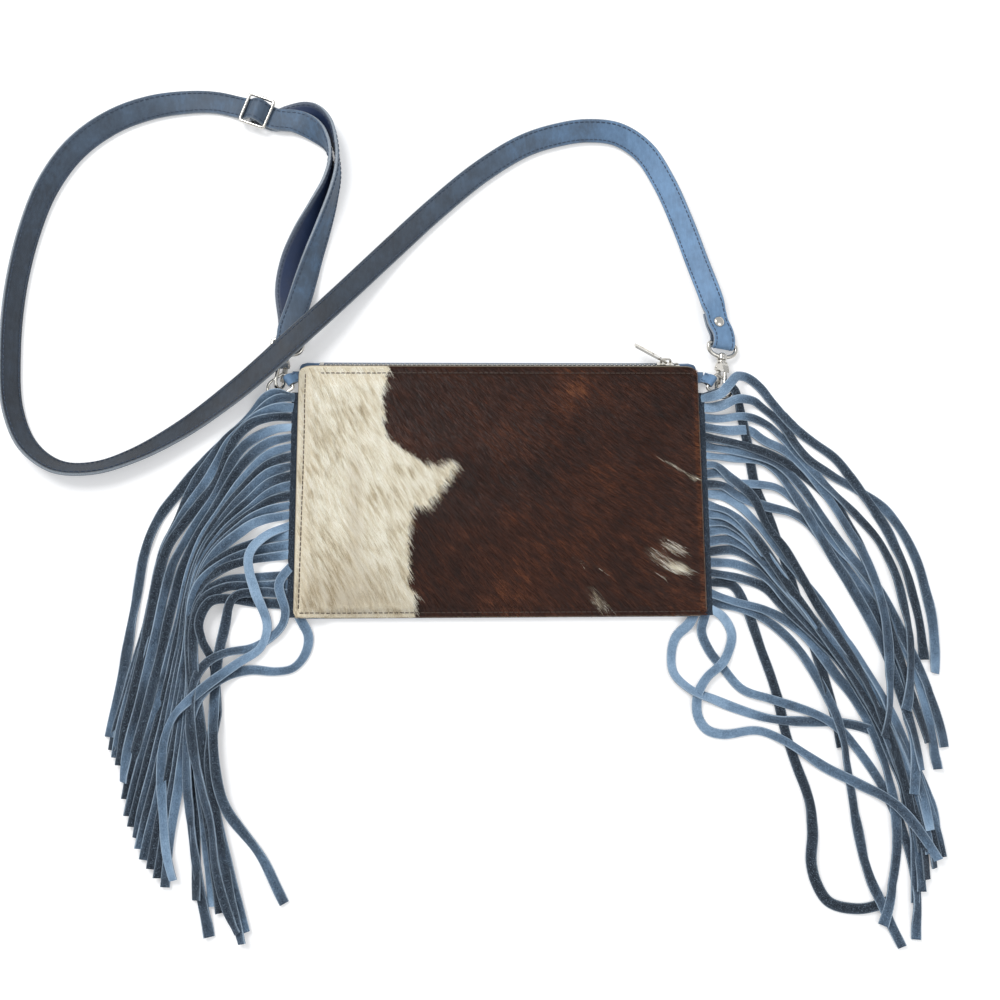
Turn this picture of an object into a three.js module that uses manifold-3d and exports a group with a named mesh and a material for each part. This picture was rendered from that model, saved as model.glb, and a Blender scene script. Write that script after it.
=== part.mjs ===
// Flat zip-top bag with a cowhide front, fringed sides and a long shoulder strap, laid down flat.
// Millimetres. +X to the right, +Y towards the zip, +Z up through the front panel.
// The origin is on the flat of the back panel, at the middle of the bag.
import * as THREE from 'three';
import { mergeVertices } from 'three/addons/utils/BufferGeometryUtils.js';
import Module from 'manifold-3d';

const wasm = await Module();
wasm.setup();

// Bag body
const BAG_WIDTH = 254;
const FRONT_TOP_Y = 78.2;
const BOTTOM_Y = -79.2;
const BACK_TOP_Y = 83.4;
const CORNER_RADIUS = 5;
const BACK_THICKNESS = 1.6;
const BACK_TURN_UP = 0.9;
const FRONT_THICKNESS = 1.8;
const SIDE_SEAM_Z = 4.5;
const BOTTOM_SEAM_Z = 1.9;
const PILLOW_HEIGHT = 7.9;
const SEAM_GAP = 0.3;

// Zip
const ZIP_TILT = THREE.MathUtils.degToRad(35);
const ZIP_Y = 80.1;
const TAPE_THICKNESS = 0.6;
const TAPE_HALF_LENGTH = 114.2;
const TAPE_BEND = 5.4;
const TAPE_INNER_EDGE = 0.7;
const TAPE_PARTING = 1.4;
const TAPE_SEWN_WIDTH = 9;
const TEETH_START_X = -109.5;
const TEETH_END_X = 112;
const TEETH_PITCH = 3;
const TOOTH_LENGTH = 1.2;
const TOOTH_HEIGHT = 1.6;
const TOOTH_REACH = 0.95;
const TOOTH_FOOT = 0.6;
const SLIDER_X = 106.2;
const SLIDER_LENGTH = 11;
const PULL_ANGLE = THREE.MathUtils.degToRad(28);
const PULL_LENGTH = 23;
const PULL_WIDTH = 7;
const PULL_THICKNESS = 1.3;
const PULL_LIFT = 1.4;

// Ring tabs, rings and clasps
const TAB_WIDTH = 7;
const TAB_THICKNESS = 1.2;
const TAB_SLOPE = THREE.MathUtils.degToRad(27);
const RING_WIRE = 1.0;
const RING_INNER_WIDTH = 9.5;
const RING_INNER_DEPTH = 13;
const EYE_WIRE = 1.4;
const EYE_INNER_WIDTH = 16.4;
const EYE_DEPTH = 10.5;
const HOOK_WIRE = 1.3;
const HOOK_HALF_OPENING = 4.2;
const HOOK_LENGTH = 20.8;
const SWIVEL_BOSS_LENGTH = 3.5;
const STEM_RADIUS = 1.3;
const PIN_RADIUS = 0.7;
const GATE_PIVOT = [4.6, -2.7];
const GATE_THICKNESS = 2.0;
const RUNNING_GAP = 0.3;

// Strap
const STRAP_WIDTH = 15;
const STRAP_THICKNESS = 2.2;
const SKIVED_THICKNESS = 1.4;
const SLIDE_BAR_SPACING = 8.4;
const SLIDE_WIRE = 1.1;
const RIVET_DISTANCE = 14.5;

// Fringe
const FRINGE_LENGTH = 254;
const FRINGE_PITCH = 6.2;
const FRINGE_TOP_Y = 66;
const STRAND_WIDTH = 6.2;
const STRAND_THICKNESS = 1.1;
const HEADER_THICKNESS = 1.4;
const HEADER_INNER_X = 119;
const HEADER_OUTER_X = 131;
const HEADER_TOP_Y = 63.2;
const TOP_STRAND_Y = 59.9;
const STRAND_ROOT_X = 128.2;
const ROWS = 23;
const ROUTE_STEPS = 120;
const STRAND_STATIONS = [0, 2, 4, 6, 9, 14, 22, 34, 48, 62, 76, 90, 104, 120];
const STRAND_GAP = 0.1;
const EDGE_REACH = 2.6;
const STEEPEST = THREE.MathUtils.degToRad(34);
const CELL = 1.5;
// Beyond this distance from the middle a pile of strands is pressed down to this share of its height
const FREE_X = 150;
const FREE_HEIGHT = 3;
const PRESSED = 0.38;

// Height of the pieces sewn into the side seams
const SEAM_FLOOR_Z = BACK_THICKNESS + BACK_TURN_UP + SEAM_GAP;

// Where the metalwork lies: each clasp by the bar its strap end is folded round
const CLASPS = {
  right: { bar: [144, 95, 5.5], axis: [-0.09, -0.996, 0], eyeRoll: -14, hookRoll: 66, strap: [-0.2, 0.98] },
  left: { bar: [-134, 96, 5.5], axis: [-0.178, -0.984, 0], eyeRoll: 0, hookRoll: 118, strap: [0.03, 1] },
};
const RINGS = {
  right: { bar: [135.5, 70.5, 6.45], heading: -35 },
  left: { bar: [-132.8, 70.5, 6.45], heading: -145 },
};
const STRAP_SLIDE = { centre: [-158, 253.5], heading: -20 };

const COLOURS = {
  hide: 0x6a4632, blueLeather: 0x5f86b0, suede: 0x4f6f90, tape: 0x66727f, nickel: 0xc9c6bd, strap: 0x5a82ad,
};

const X_AXIS = new THREE.Vector3(1, 0, 0);
const Z_AXIS = new THREE.Vector3(0, 0, 1);

function material(color, roughness, metalness) {
  return new THREE.MeshStandardMaterial({ color, roughness, metalness });
}

const FINISH = {
  hide: material(COLOURS.hide, 0.75, 0),
  leather: material(COLOURS.blueLeather, 0.6, 0),
  suede: material(COLOURS.suede, 0.95, 0),
  tape: material(COLOURS.tape, 0.9, 0),
  nickel: material(COLOURS.nickel, 0.25, 1),
  strap: material(COLOURS.strap, 0.55, 0),
};

// Solids

function signedVolume(positions, triangles) {
  const corner = [new THREE.Vector3(), new THREE.Vector3(), new THREE.Vector3()];
  let volume = 0;
  for (let i = 0; i < triangles.length; i += 3) {
    corner.forEach((c, k) => c.fromArray(positions, triangles[i + k] * 3));
    volume += corner[0].dot(corner[1].clone().cross(corner[2])) / 6;
  }
  return volume;
}

function solid(points, triangles) {
  const positions = points.flatMap((p) => [p.x, p.y, p.z]);
  if (signedVolume(positions, triangles) < 0) {
    for (let i = 0; i < triangles.length; i += 3) {
      [triangles[i], triangles[i + 1]] = [triangles[i + 1], triangles[i]];
    }
  }
  const geometry = new THREE.BufferGeometry();
  geometry.setAttribute('position', new THREE.Float32BufferAttribute(positions, 3));
  geometry.setIndex(triangles);
  return geometry;
}

// Joins rings of corners into one solid, capped at both ends or closed on itself.
function loft(rings, closed = false) {
  const count = rings[0].length;
  const triangles = [];
  const spans = closed ? rings.length : rings.length - 1;
  for (let i = 0; i < spans; i++) {
    const a = i * count;
    const b = ((i + 1) % rings.length) * count;
    for (let k = 0; k < count; k++) {
      const next = (k + 1) % count;
      triangles.push(a + k, a + next, b + k, b + k, a + next, b + next);
    }
  }
  if (!closed) {
    const last = (rings.length - 1) * count;
    for (let k = 1; k < count - 1; k++) {
      triangles.push(0, k + 1, k, last, last + k, last + k + 1);
    }
  }
  return solid(rings.flat(), triangles);
}

// A sheet between two surfaces given as functions of (s, t) from 0 to 1.
function slab(top, bottom, across, along) {
  const points = [];
  for (const surface of [top, bottom]) {
    for (let j = 0; j <= along; j++) {
      for (let i = 0; i <= across; i++) points.push(surface(i / across, j / along));
    }
  }
  const row = across + 1;
  const under = row * (along + 1);
  const triangles = [];
  for (let j = 0; j < along; j++) {
    for (let i = 0; i < across; i++) {
      const a = j * row + i;
      triangles.push(a, a + 1, a + row, a + 1, a + row + 1, a + row);
      triangles.push(under + a, under + a + row, under + a + 1);
      triangles.push(under + a + 1, under + a + row, under + a + row + 1);
    }
  }
  const rim = [];
  for (let i = 0; i < across; i++) rim.push(i);
  for (let j = 0; j < along; j++) rim.push(j * row + across);
  for (let i = across; i > 0; i--) rim.push(along * row + i);
  for (let j = along; j > 0; j--) rim.push(j * row);
  rim.forEach((a, k) => {
    const b = rim[(k + 1) % rim.length];
    triangles.push(a, under + a, b, b, under + a, under + b);
  });
  return solid(points, triangles);
}

function toManifold(geometry) {
  const bare = geometry.clone();
  bare.deleteAttribute('normal');
  bare.deleteAttribute('uv');
  const merged = mergeVertices(bare, 1e-4);
  const corners = merged.index.array;
  const triangles = [];
  for (let i = 0; i < corners.length; i += 3) {
    const [a, b, c] = [corners[i], corners[i + 1], corners[i + 2]];
    if (a !== b && b !== c && c !== a) triangles.push(a, b, c);
  }
  return new wasm.Manifold(new wasm.Mesh({
    numProp: 3,
    vertProperties: new Float32Array(merged.attributes.position.array),
    triVerts: new Uint32Array(triangles),
  }));
}

function fromManifold(body) {
  const mesh = body.getMesh();
  const geometry = new THREE.BufferGeometry();
  geometry.setAttribute('position', new THREE.BufferAttribute(mesh.vertProperties, 3));
  geometry.setIndex(new THREE.BufferAttribute(mesh.triVerts, 1));
  return geometry;
}

function join(...geometries) {
  return fromManifold(geometries.map(toManifold).reduce((a, b) => a.add(b)));
}

// Joins pieces and fills the pockets shut in between them.
function joinSolid(...geometries) {
  const shells = geometries.map(toManifold).reduce((a, b) => a.add(b)).decompose();
  return fromManifold(shells.reduce((a, b) => (b.volume() > a.volume() ? b : a)));
}

function cut(geometry, ...tools) {
  return fromManifold(tools.map(toManifold).reduce((a, b) => a.subtract(b), toManifold(geometry)));
}

function box(x0, x1, y0, y1, z0, z1) {
  const geometry = new THREE.BoxGeometry(x1 - x0, y1 - y0, z1 - z0);
  geometry.translate((x0 + x1) / 2, (y0 + y1) / 2, (z0 + z1) / 2);
  return geometry;
}

// A plate with the outline in X and Y, from z0 up to z1.
function plate(shape, z0, z1, curveSegments = 6) {
  const { shape: outline, holes } = shape.extractPoints(curveSegments);
  if (THREE.ShapeUtils.isClockWise(outline)) outline.reverse();
  const clean = new THREE.Shape(dropRepeats(outline));
  clean.holes = holes.map((hole) => new THREE.Path(dropRepeats(hole)));
  const geometry = new THREE.ExtrudeGeometry(clean, { depth: z1 - z0, bevelEnabled: false });
  geometry.translate(0, 0, z0);
  return geometry;
}

// A turned piece along X: profile points are [x, radius].
function turned(profile, sides = 14) {
  const points = profile.map(([x, radius]) => new THREE.Vector2(radius, x));
  const geometry = new THREE.LatheGeometry(points, sides);
  geometry.rotateZ(-Math.PI / 2);
  return geometry;
}

// A round wire along points in one plane, whose normal is given.
function wire(points, radius, normal, closed = false, sides = 6) {
  const rings = points.map((p, i) => {
    const before = points[(i - 1 + points.length) % points.length];
    const after = points[(i + 1) % points.length];
    const from = closed || i > 0 ? before : p;
    const to = closed || i < points.length - 1 ? after : p;
    const tangent = to.clone().sub(from).normalize();
    const inPlane = normal.clone().cross(tangent).normalize();
    return Array.from({ length: sides }, (_, k) => {
      const angle = ((k + 0.5) / sides) * 2 * Math.PI;
      return p.clone()
        .addScaledVector(inPlane, radius * Math.cos(angle))
        .addScaledVector(normal, radius * Math.sin(angle));
    });
  });
  return loft(rings, closed);
}

// A strip of rectangular section: each station has a point, a width direction, a width and a thickness.
function strip(stations) {
  const rings = stations.map((station, i) => {
    const before = stations[Math.max(i - 1, 0)].point;
    const after = stations[Math.min(i + 1, stations.length - 1)].point;
    const tangent = after.clone().sub(before).normalize();
    const side = station.side.clone().addScaledVector(tangent, -station.side.dot(tangent)).normalize();
    const up = tangent.clone().cross(side).normalize();
    const corner = (a, b) => station.point.clone()
      .addScaledVector(side, a * station.width / 2)
      .addScaledVector(up, b * station.thickness / 2);
    return [corner(1, 1), corner(-1, 1), corner(-1, -1), corner(1, -1)];
  });
  return loft(rings);
}

function smooth(t) {
  const c = THREE.MathUtils.clamp(t, 0, 1);
  return c * c * (3 - 2 * c);
}

const root = new THREE.Group();

function add(name, geometry, finish, parent = root) {
  const mesh = new THREE.Mesh(geometry, finish);
  mesh.name = name;
  parent.add(mesh);
  return mesh;
}

// Panels

// Draws the corners of a panel's outline in to a small radius.
function panelPoint(s, t, topY) {
  const halfWidth = BAG_WIDTH / 2;
  const y = THREE.MathUtils.lerp(BOTTOM_Y, topY, t);
  const toEdge = Math.min(y - BOTTOM_Y, topY - y);
  const into = Math.max(CORNER_RADIUS - toEdge, 0);
  const inset = CORNER_RADIUS - Math.sqrt(CORNER_RADIUS ** 2 - Math.min(into, CORNER_RADIUS) ** 2);
  return new THREE.Vector3((2 * s - 1) * (halfWidth - inset), y, 0);
}

// Spreads grid lines so that more of them lie near the rim.
function crowd(t) {
  return 0.5 - 0.5 * Math.cos(Math.PI * t) * (1 - 0.28 * Math.sin(Math.PI * t) ** 2);
}

const BEND_DY = TAPE_BEND * Math.sin(ZIP_TILT);
const BEND_DZ = TAPE_BEND * Math.cos(ZIP_TILT);
const BACK_TAPE_Z = BACK_THICKNESS + SEAM_GAP + TAPE_THICKNESS / 2;
const ZIP_Z = BACK_TAPE_Z + BEND_DZ;
const FRONT_TAPE_Z = ZIP_Z + BEND_DZ;
const TOP_EDGE_Z = FRONT_TAPE_Z + TAPE_THICKNESS / 2 + SEAM_GAP + 0.2;

// Height of the front panel's inner face: seams at the sides and bottom, the zip's height along the top.
function frontInnerZ(x, y) {
  const up = (y - BOTTOM_Y) / (FRONT_TOP_Y - BOTTOM_Y);
  const overHeader = smooth((Math.abs(x) - 104) / 10);
  const fromFoot = smooth((y - BOTTOM_Y) / 8);
  const cornerLift = 0.8 * overHeader * (1 - fromFoot);
  const seam = THREE.MathUtils.lerp(BOTTOM_SEAM_Z, SIDE_SEAM_Z, Math.max(fromFoot, overHeader)) + cornerLift;
  const sideReach = THREE.MathUtils.lerp(46, 10, smooth((up - 0.58) / 0.3));
  const fromSide = THREE.MathUtils.clamp((BAG_WIDTH / 2 - Math.abs(x)) / sideReach, 0, 1);
  const sideRise = Math.sin(fromSide * Math.PI / 2);
  const fromBottom = Math.sin(THREE.MathUtils.clamp(up / 0.42, 0, 1) * Math.PI / 2);
  const toTop = smooth((up - 0.5) / 0.44);
  const middle = THREE.MathUtils.lerp(PILLOW_HEIGHT, TOP_EDGE_Z - SIDE_SEAM_Z, toTop);
  return seam + middle * sideRise * fromBottom;
}

function frontPanel() {
  const at = (lift) => (s, t) => {
    const p = panelPoint(crowd(s), crowd(t), FRONT_TOP_Y);
    p.z = frontInnerZ(p.x, p.y) + lift;
    return p;
  };
  return slab(at(FRONT_THICKNESS), at(0), 24, 14);
}

// The back panel lies flat and turns up a little at its sides to meet the seam.
function backPanel() {
  const outerZ = (x) => BACK_TURN_UP * smooth((Math.abs(x) - (BAG_WIDTH / 2 - 11)) / 10);
  const at = (lift) => (s, t) => {
    const p = panelPoint(crowd(s), crowd(t), BACK_TOP_Y);
    p.z = outerZ(p.x) + lift;
    return p;
  };
  return slab(at(BACK_THICKNESS), at(0), 18, 6);
}

// Zip: its own frame lies on the line between the panels' top edges, +Z outwards

const zip = new THREE.Group();
zip.position.set(0, ZIP_Y, ZIP_Z);
zip.rotation.x = ZIP_TILT - Math.PI / 2;
root.add(zip);

// How far the tape's inner edge stands from the middle: it opens round the slider's wedge.
function tapeEdge(x) {
  return TAPE_INNER_EDGE + TAPE_PARTING * smooth((x - (SLIDER_X - 3)) / 4);
}

// One tape with its row of teeth. side is -1 towards the front panel and +1 towards the back one.
function zipTape(side) {
  const sewnTilt = Math.PI / 2 - ZIP_TILT;
  const sewnY = -Math.cos(sewnTilt);
  const sewnZ = -Math.sin(sewnTilt);
  const section = (x) => {
    const edge = tapeEdge(x);
    const half = TAPE_THICKNESS / 2;
    const bend = side * TAPE_BEND;
    const mid = [[side * edge, 0], [bend, 0], [bend + sewnY * TAPE_SEWN_WIDTH, sewnZ * TAPE_SEWN_WIDTH]];
    const outFlat = [0, 1];
    const outSewn = [-sewnZ * side, sewnY * side];
    const mitre = 1 / (1 + outFlat[0] * outSewn[0] + outFlat[1] * outSewn[1]);
    const outBend = [(outFlat[0] + outSewn[0]) * mitre, (outFlat[1] + outSewn[1]) * mitre];
    const offsets = [outFlat, outBend, outSewn];
    const face = (out) => mid.map(([y, z], k) => {
      return new THREE.Vector3(x, y + offsets[k][0] * out, z + offsets[k][1] * out);
    });
    return [...face(half), ...face(-half).reverse()];
  };
  const first = TEETH_START_X + (side > 0 ? TEETH_PITCH / 2 : 0);
  const stops = [-TAPE_HALF_LENGTH];
  for (let x = first + TEETH_PITCH / 2; x < TEETH_END_X - TOOTH_LENGTH / 2; x += TEETH_PITCH) {
    if (x > SLIDER_X - SLIDER_LENGTH / 2) stops.push(x);
  }
  stops.push(TAPE_HALF_LENGTH);
  const parts = [loftSection(stops.map(section))];
  for (let x = first; x < TEETH_END_X; x += TEETH_PITCH) parts.push(zipTooth(x, side));
  return join(...parts);
}

// A bent section is not convex, so its end caps are filled as a shape is.
function loftSection(rings) {
  const count = rings[0].length;
  const triangles = [];
  for (let i = 0; i < rings.length - 1; i++) {
    for (let k = 0; k < count; k++) {
      const next = (k + 1) % count;
      const a = i * count;
      triangles.push(a + k, a + next, a + count + k, a + count + k, a + next, a + count + next);
    }
  }
  const half = count / 2;
  const last = (rings.length - 1) * count;
  for (let k = 0; k < half - 1; k++) {
    const quad = [k, k + 1, count - 2 - k, count - 1 - k];
    const startCap = [0, 2, 1, 0, 3, 2].map((corner) => quad[corner]);
    const endCap = [0, 1, 2, 0, 2, 3].map((corner) => last + quad[corner]);
    triangles.push(...startCap, ...endCap);
  }
  return solid(rings.flat(), triangles);
}

function zipTooth(x, side) {
  const edge = tapeEdge(x) * side;
  const shape = new THREE.Shape();
  const halfFoot = TOOTH_LENGTH * 0.38;
  const half = TOOTH_LENGTH / 2;
  shape.moveTo(x - halfFoot, edge + side * TOOTH_FOOT);
  shape.lineTo(x + halfFoot, edge + side * TOOTH_FOOT);
  shape.lineTo(x + half, edge - side * TOOTH_REACH);
  shape.lineTo(x - half, edge - side * TOOTH_REACH);
  return plate(shape, -TOOTH_HEIGHT / 2, TOOTH_HEIGHT / 2);
}

// The slider: two plates held apart by the wedge, flanged at the sides, with a bridge for the pull.
function sliderOutline(inset) {
  const half = SLIDER_LENGTH / 2 - inset;
  const narrow = 2.9 - inset;
  const wide = 3.5 - inset;
  const shape = new THREE.Shape();
  shape.moveTo(-half, -narrow);
  shape.lineTo(-half * 0.25, -narrow - 0.1);
  shape.quadraticCurveTo(half * 0.2, -wide, half * 0.75, -wide);
  shape.quadraticCurveTo(half, -wide, half, -wide * 0.72);
  shape.lineTo(half * 0.8, 0);
  shape.lineTo(half, wide * 0.72);
  shape.quadraticCurveTo(half, wide, half * 0.75, wide);
  shape.quadraticCurveTo(half * 0.2, wide, -half * 0.25, narrow + 0.1);
  shape.lineTo(-half, narrow);
  return shape;
}

const CHANNEL_HALF = TOOTH_HEIGHT / 2 + RUNNING_GAP;
const PLATE_THICKNESS = 0.6;
const SLIDER_TOP = CHANNEL_HALF + PLATE_THICKNESS;
const BRIDGE_GAP = 2.6;
const BRIDGE_TOP = SLIDER_TOP + BRIDGE_GAP + 1;

function sliderBody() {
  const block = plate(sliderOutline(0), -SLIDER_TOP, SLIDER_TOP, 4);
  const slotHalf = TAPE_THICKNESS / 2 + 0.35;
  const channel = plate(sliderOutline(0.4), -CHANNEL_HALF, CHANNEL_HALF, 4);
  channel.scale(1.2, 1, 1);
  const sideSlots = box(-SLIDER_LENGTH, SLIDER_LENGTH, -6, 6, -slotHalf, slotHalf);
  const wedgeShape = new THREE.Shape();
  wedgeShape.moveTo(-1.4, 0);
  wedgeShape.lineTo(2.2, -0.6);
  wedgeShape.lineTo(4.0, -0.5);
  wedgeShape.lineTo(4.0, 0.5);
  wedgeShape.lineTo(2.2, 0.6);
  const wedge = plate(wedgeShape, -SLIDER_TOP + 0.2, SLIDER_TOP - 0.2);
  const bridgeShape = new THREE.Shape();
  bridgeShape.moveTo(-3.6, SLIDER_TOP - 0.2);
  bridgeShape.lineTo(-3.6, SLIDER_TOP + 2.2);
  bridgeShape.quadraticCurveTo(-3.4, BRIDGE_TOP, -1.6, BRIDGE_TOP);
  bridgeShape.lineTo(1.6, BRIDGE_TOP);
  bridgeShape.quadraticCurveTo(3.4, BRIDGE_TOP, 3.6, SLIDER_TOP + 2.2);
  bridgeShape.lineTo(3.6, SLIDER_TOP - 0.2);
  bridgeShape.lineTo(2.3, SLIDER_TOP - 0.2);
  bridgeShape.lineTo(2.3, SLIDER_TOP + BRIDGE_GAP);
  bridgeShape.lineTo(-2.3, SLIDER_TOP + BRIDGE_GAP);
  bridgeShape.lineTo(-2.3, SLIDER_TOP - 0.2);
  const bridge = plate(bridgeShape, -0.9, 0.9, 4);
  bridge.rotateX(Math.PI / 2);
  return join(cut(block, channel, sideSlots), wedge, bridge);
}

// The pull: a rimmed tab whose ring end passes under the slider's bridge. Its origin is on the hinge line.
function pullTab() {
  const eyeHalf = 2.5;
  const shape = new THREE.Shape();
  shape.moveTo(-0.6, -eyeHalf);
  shape.lineTo(4.6, -eyeHalf);
  shape.quadraticCurveTo(6.4, -PULL_WIDTH / 2, 8.2, -PULL_WIDTH / 2);
  shape.lineTo(PULL_LENGTH - 1.6, -PULL_WIDTH / 2);
  shape.quadraticCurveTo(PULL_LENGTH, -PULL_WIDTH / 2, PULL_LENGTH, -PULL_WIDTH / 2 + 1.6);
  shape.lineTo(PULL_LENGTH, PULL_WIDTH / 2 - 1.6);
  shape.quadraticCurveTo(PULL_LENGTH, PULL_WIDTH / 2, PULL_LENGTH - 1.6, PULL_WIDTH / 2);
  shape.lineTo(8.2, PULL_WIDTH / 2);
  shape.quadraticCurveTo(6.4, PULL_WIDTH / 2, 4.6, eyeHalf);
  shape.lineTo(-0.6, eyeHalf);
  const hole = new THREE.Path();
  hole.moveTo(0.6, -1.3);
  hole.lineTo(0.6, 1.3);
  hole.lineTo(4.6, 1.3);
  hole.lineTo(4.6, -1.3);
  shape.holes.push(hole);
  const half = PULL_THICKNESS / 2;
  const body = plate(shape, -half, half, 4);
  const recesses = [1, -1].map((face) => {
    const depth = 0.35;
    const z0 = face > 0 ? half - depth : -half - 1;
    return box(9, PULL_LENGTH - 1.3, -PULL_WIDTH / 2 + 1.2, PULL_WIDTH / 2 - 1.2, z0, z0 + 1 + depth);
  });
  return cut(body, ...recesses);
}

// The bottom stop is one staple round both tapes, closed between them.
function bottomStop() {
  const x0 = -TAPE_HALF_LENGTH + 0.7;
  const staple = box(x0, x0 + 2.6, -2.2, 2.2, -1.4, 1.4);
  const slotHalf = TAPE_THICKNESS / 2 + RUNNING_GAP;
  const slot = box(x0 - 1, x0 + 4, -3, 3, -slotHalf, slotHalf);
  const web = box(x0 + 0.2, x0 + 2.4, -0.4, 0.4, -1.3, 1.3);
  return join(cut(staple, slot), web);
}

// A top stop is a small clamp over the inner edge of its own tape.
function topStop(side) {
  const x0 = TAPE_HALF_LENGTH - 1.9;
  const edge = tapeEdge(x0);
  const block = (from, to, before, half) => {
    const y = [side * from, side * to].sort((a, b) => a - b);
    return box(x0 - before, x0 + 2.6 + before, y[0], y[1], -half, half);
  };
  const slotHalf = TAPE_THICKNESS / 2 + RUNNING_GAP;
  return cut(block(edge - 0.95, edge + 1.1, 0, 1.4), block(edge - RUNNING_GAP, edge + 2, 1, slotHalf));
}

// Ring tabs: a tongue in the side seam and a loop folded round the ring's straight bar

function ringTab(side) {
  const spec = side > 0 ? RINGS.right : RINGS.left;
  const tongueZ = SEAM_FLOOR_Z;
  const x0 = side > 0 ? 119.5 : -131;
  const tongue = box(x0, x0 + 11.5, 69.8, 77.2, tongueZ, tongueZ + TAB_THICKNESS);
  const outer = RING_WIRE + RUNNING_GAP + 0.1 + TAB_THICKNESS;
  const inner = outer - TAB_THICKNESS;
  const shape = new THREE.Shape();
  const neck = 6.6;
  shape.moveTo(-neck, -TAB_THICKNESS / 2);
  shape.lineTo(-neck, TAB_THICKNESS / 2);
  shape.lineTo(-outer * 1.1, TAB_THICKNESS / 2);
  shape.absarc(0, 0, outer, (Math.PI * 2) / 3, (-Math.PI * 2) / 3, true);
  shape.lineTo(-outer * 1.1, -TAB_THICKNESS / 2);
  const hole = new THREE.Path();
  hole.absarc(0, 0, inner, 0, Math.PI * 2, true);
  shape.holes.push(hole);
  const loop = plate(shape, -TAB_WIDTH / 2, TAB_WIDTH / 2, 8);
  loop.rotateX(Math.PI / 2);
  loop.rotateY(-TAB_SLOPE);
  loop.rotateZ(THREE.MathUtils.degToRad(spec.heading));
  loop.translate(...spec.bar);
  return join(tongue, loop);
}

// A ring: a straight bar at the origin and a rounded bow towards +X.
function dRing() {
  const half = RING_INNER_WIDTH / 2 + RING_WIRE;
  const depth = RING_INNER_DEPTH + 2 * RING_WIRE;
  const path = new THREE.Path();
  path.moveTo(0, half - 2);
  path.quadraticCurveTo(0, half, 2, half);
  path.lineTo(depth - half, half);
  path.absarc(depth - half, 0, half, Math.PI / 2, -Math.PI / 2, true);
  path.lineTo(2, -half);
  path.quadraticCurveTo(0, -half, 0, -half + 2);
  const points = path.getPoints(7).map((p) => new THREE.Vector3(p.x, p.y, 0));
  return wire(dropRepeats(points), RING_WIRE, Z_AXIS, true);
}

function dropRepeats(points) {
  return points.filter((p, i) => p.distanceTo(points[(i + 1) % points.length]) > 0.05);
}

// Clasps: the frame's +X runs from the swivel to the hook's end

// Eye: a loop for the strap with a bored boss for the hook's stem.
function claspEye() {
  const half = EYE_INNER_WIDTH / 2 + EYE_WIRE;
  const path = new THREE.Path();
  path.moveTo(-EYE_DEPTH, half - 2);
  path.lineTo(-EYE_DEPTH, -half + 2);
  path.quadraticCurveTo(-EYE_DEPTH, -half, -EYE_DEPTH + 2, -half);
  path.quadraticCurveTo(-EYE_DEPTH + 7.5, -half, -2.2, -1.6);
  path.lineTo(-2.2, 1.6);
  path.quadraticCurveTo(-EYE_DEPTH + 7.5, half, -EYE_DEPTH + 2, half);
  path.quadraticCurveTo(-EYE_DEPTH, half, -EYE_DEPTH, half - 2);
  const points = dropRepeats(path.getPoints(6).map((p) => new THREE.Vector3(p.x, p.y, 0)));
  const loop = wire(points, EYE_WIRE, Z_AXIS, true);
  const boss = turned([
    [-SWIVEL_BOSS_LENGTH, 0], [-SWIVEL_BOSS_LENGTH, 2.9], [-SWIVEL_BOSS_LENGTH + 0.6, 3.3],
    [-0.6, 3.3], [0, 2.9], [0, 0],
  ]);
  const bore = turned([[-9, 0], [-9, STEM_RADIUS + RUNNING_GAP], [1, STEM_RADIUS + RUNNING_GAP], [1, 0]]);
  const inside = turned([[-8, 0], [-8, 2.6], [-SWIVEL_BOSS_LENGTH, 2.6], [-SWIVEL_BOSS_LENGTH, 0]]);
  return cut(join(loop, boss), bore, inside);
}

// Hook: stem with a peened head, collar, a cheeked body for the gate and the bent hook.
function claspHook() {
  const stem = turned([
    [-4.7, 0], [-4.7, 1.6], [-4.3, 2.2], [-3.9, 2.2], [-3.9, STEM_RADIUS], [0.6, STEM_RADIUS], [0.6, 0],
  ]);
  const collar = turned([
    [RUNNING_GAP, 0], [RUNNING_GAP, 2.6], [0.8, 3.0], [2.2, 3.0], [2.8, 2.6], [2.8, 0],
  ]);
  const bodyShape = new THREE.Shape();
  bodyShape.moveTo(1.5, -2.2);
  bodyShape.lineTo(4.2, -4.3);
  bodyShape.quadraticCurveTo(6.6, -4.6, 6.8, -2.6);
  bodyShape.quadraticCurveTo(6.2, 0.6, 8.6, HOOK_HALF_OPENING - HOOK_WIRE);
  bodyShape.lineTo(9.4, HOOK_HALF_OPENING + HOOK_WIRE);
  bodyShape.quadraticCurveTo(4.2, 5.2, 1.5, 2.2);
  const body = plate(bodyShape, -2.3, 2.3, 5);
  const endX = HOOK_LENGTH - HOOK_HALF_OPENING;
  const path = new THREE.Path();
  path.moveTo(7.0, HOOK_HALF_OPENING - 0.4);
  path.lineTo(9.0, HOOK_HALF_OPENING);
  path.lineTo(endX, HOOK_HALF_OPENING);
  path.absarc(endX, 0, HOOK_HALF_OPENING, Math.PI / 2, -Math.PI / 2, true);
  path.lineTo(endX - 2.6, -HOOK_HALF_OPENING + 0.2);
  const bendLine = dropRepeats(path.getPoints(9).map((p) => new THREE.Vector3(p.x, p.y, 0)));
  const bend = wire(bendLine, HOOK_WIRE, Z_AXIS);
  const slotHalf = GATE_THICKNESS / 2 + RUNNING_GAP;
  const slot = box(2.9, 9, -6, 0.4, -slotHalf, slotHalf);
  const pinHole = new THREE.CylinderGeometry(PIN_RADIUS + RUNNING_GAP, PIN_RADIUS + RUNNING_GAP, 8, 12);
  pinHole.rotateX(Math.PI / 2);
  pinHole.translate(...GATE_PIVOT, 0);
  return join(stem, cut(join(collar, body, bend), slot, pinHole));
}

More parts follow.
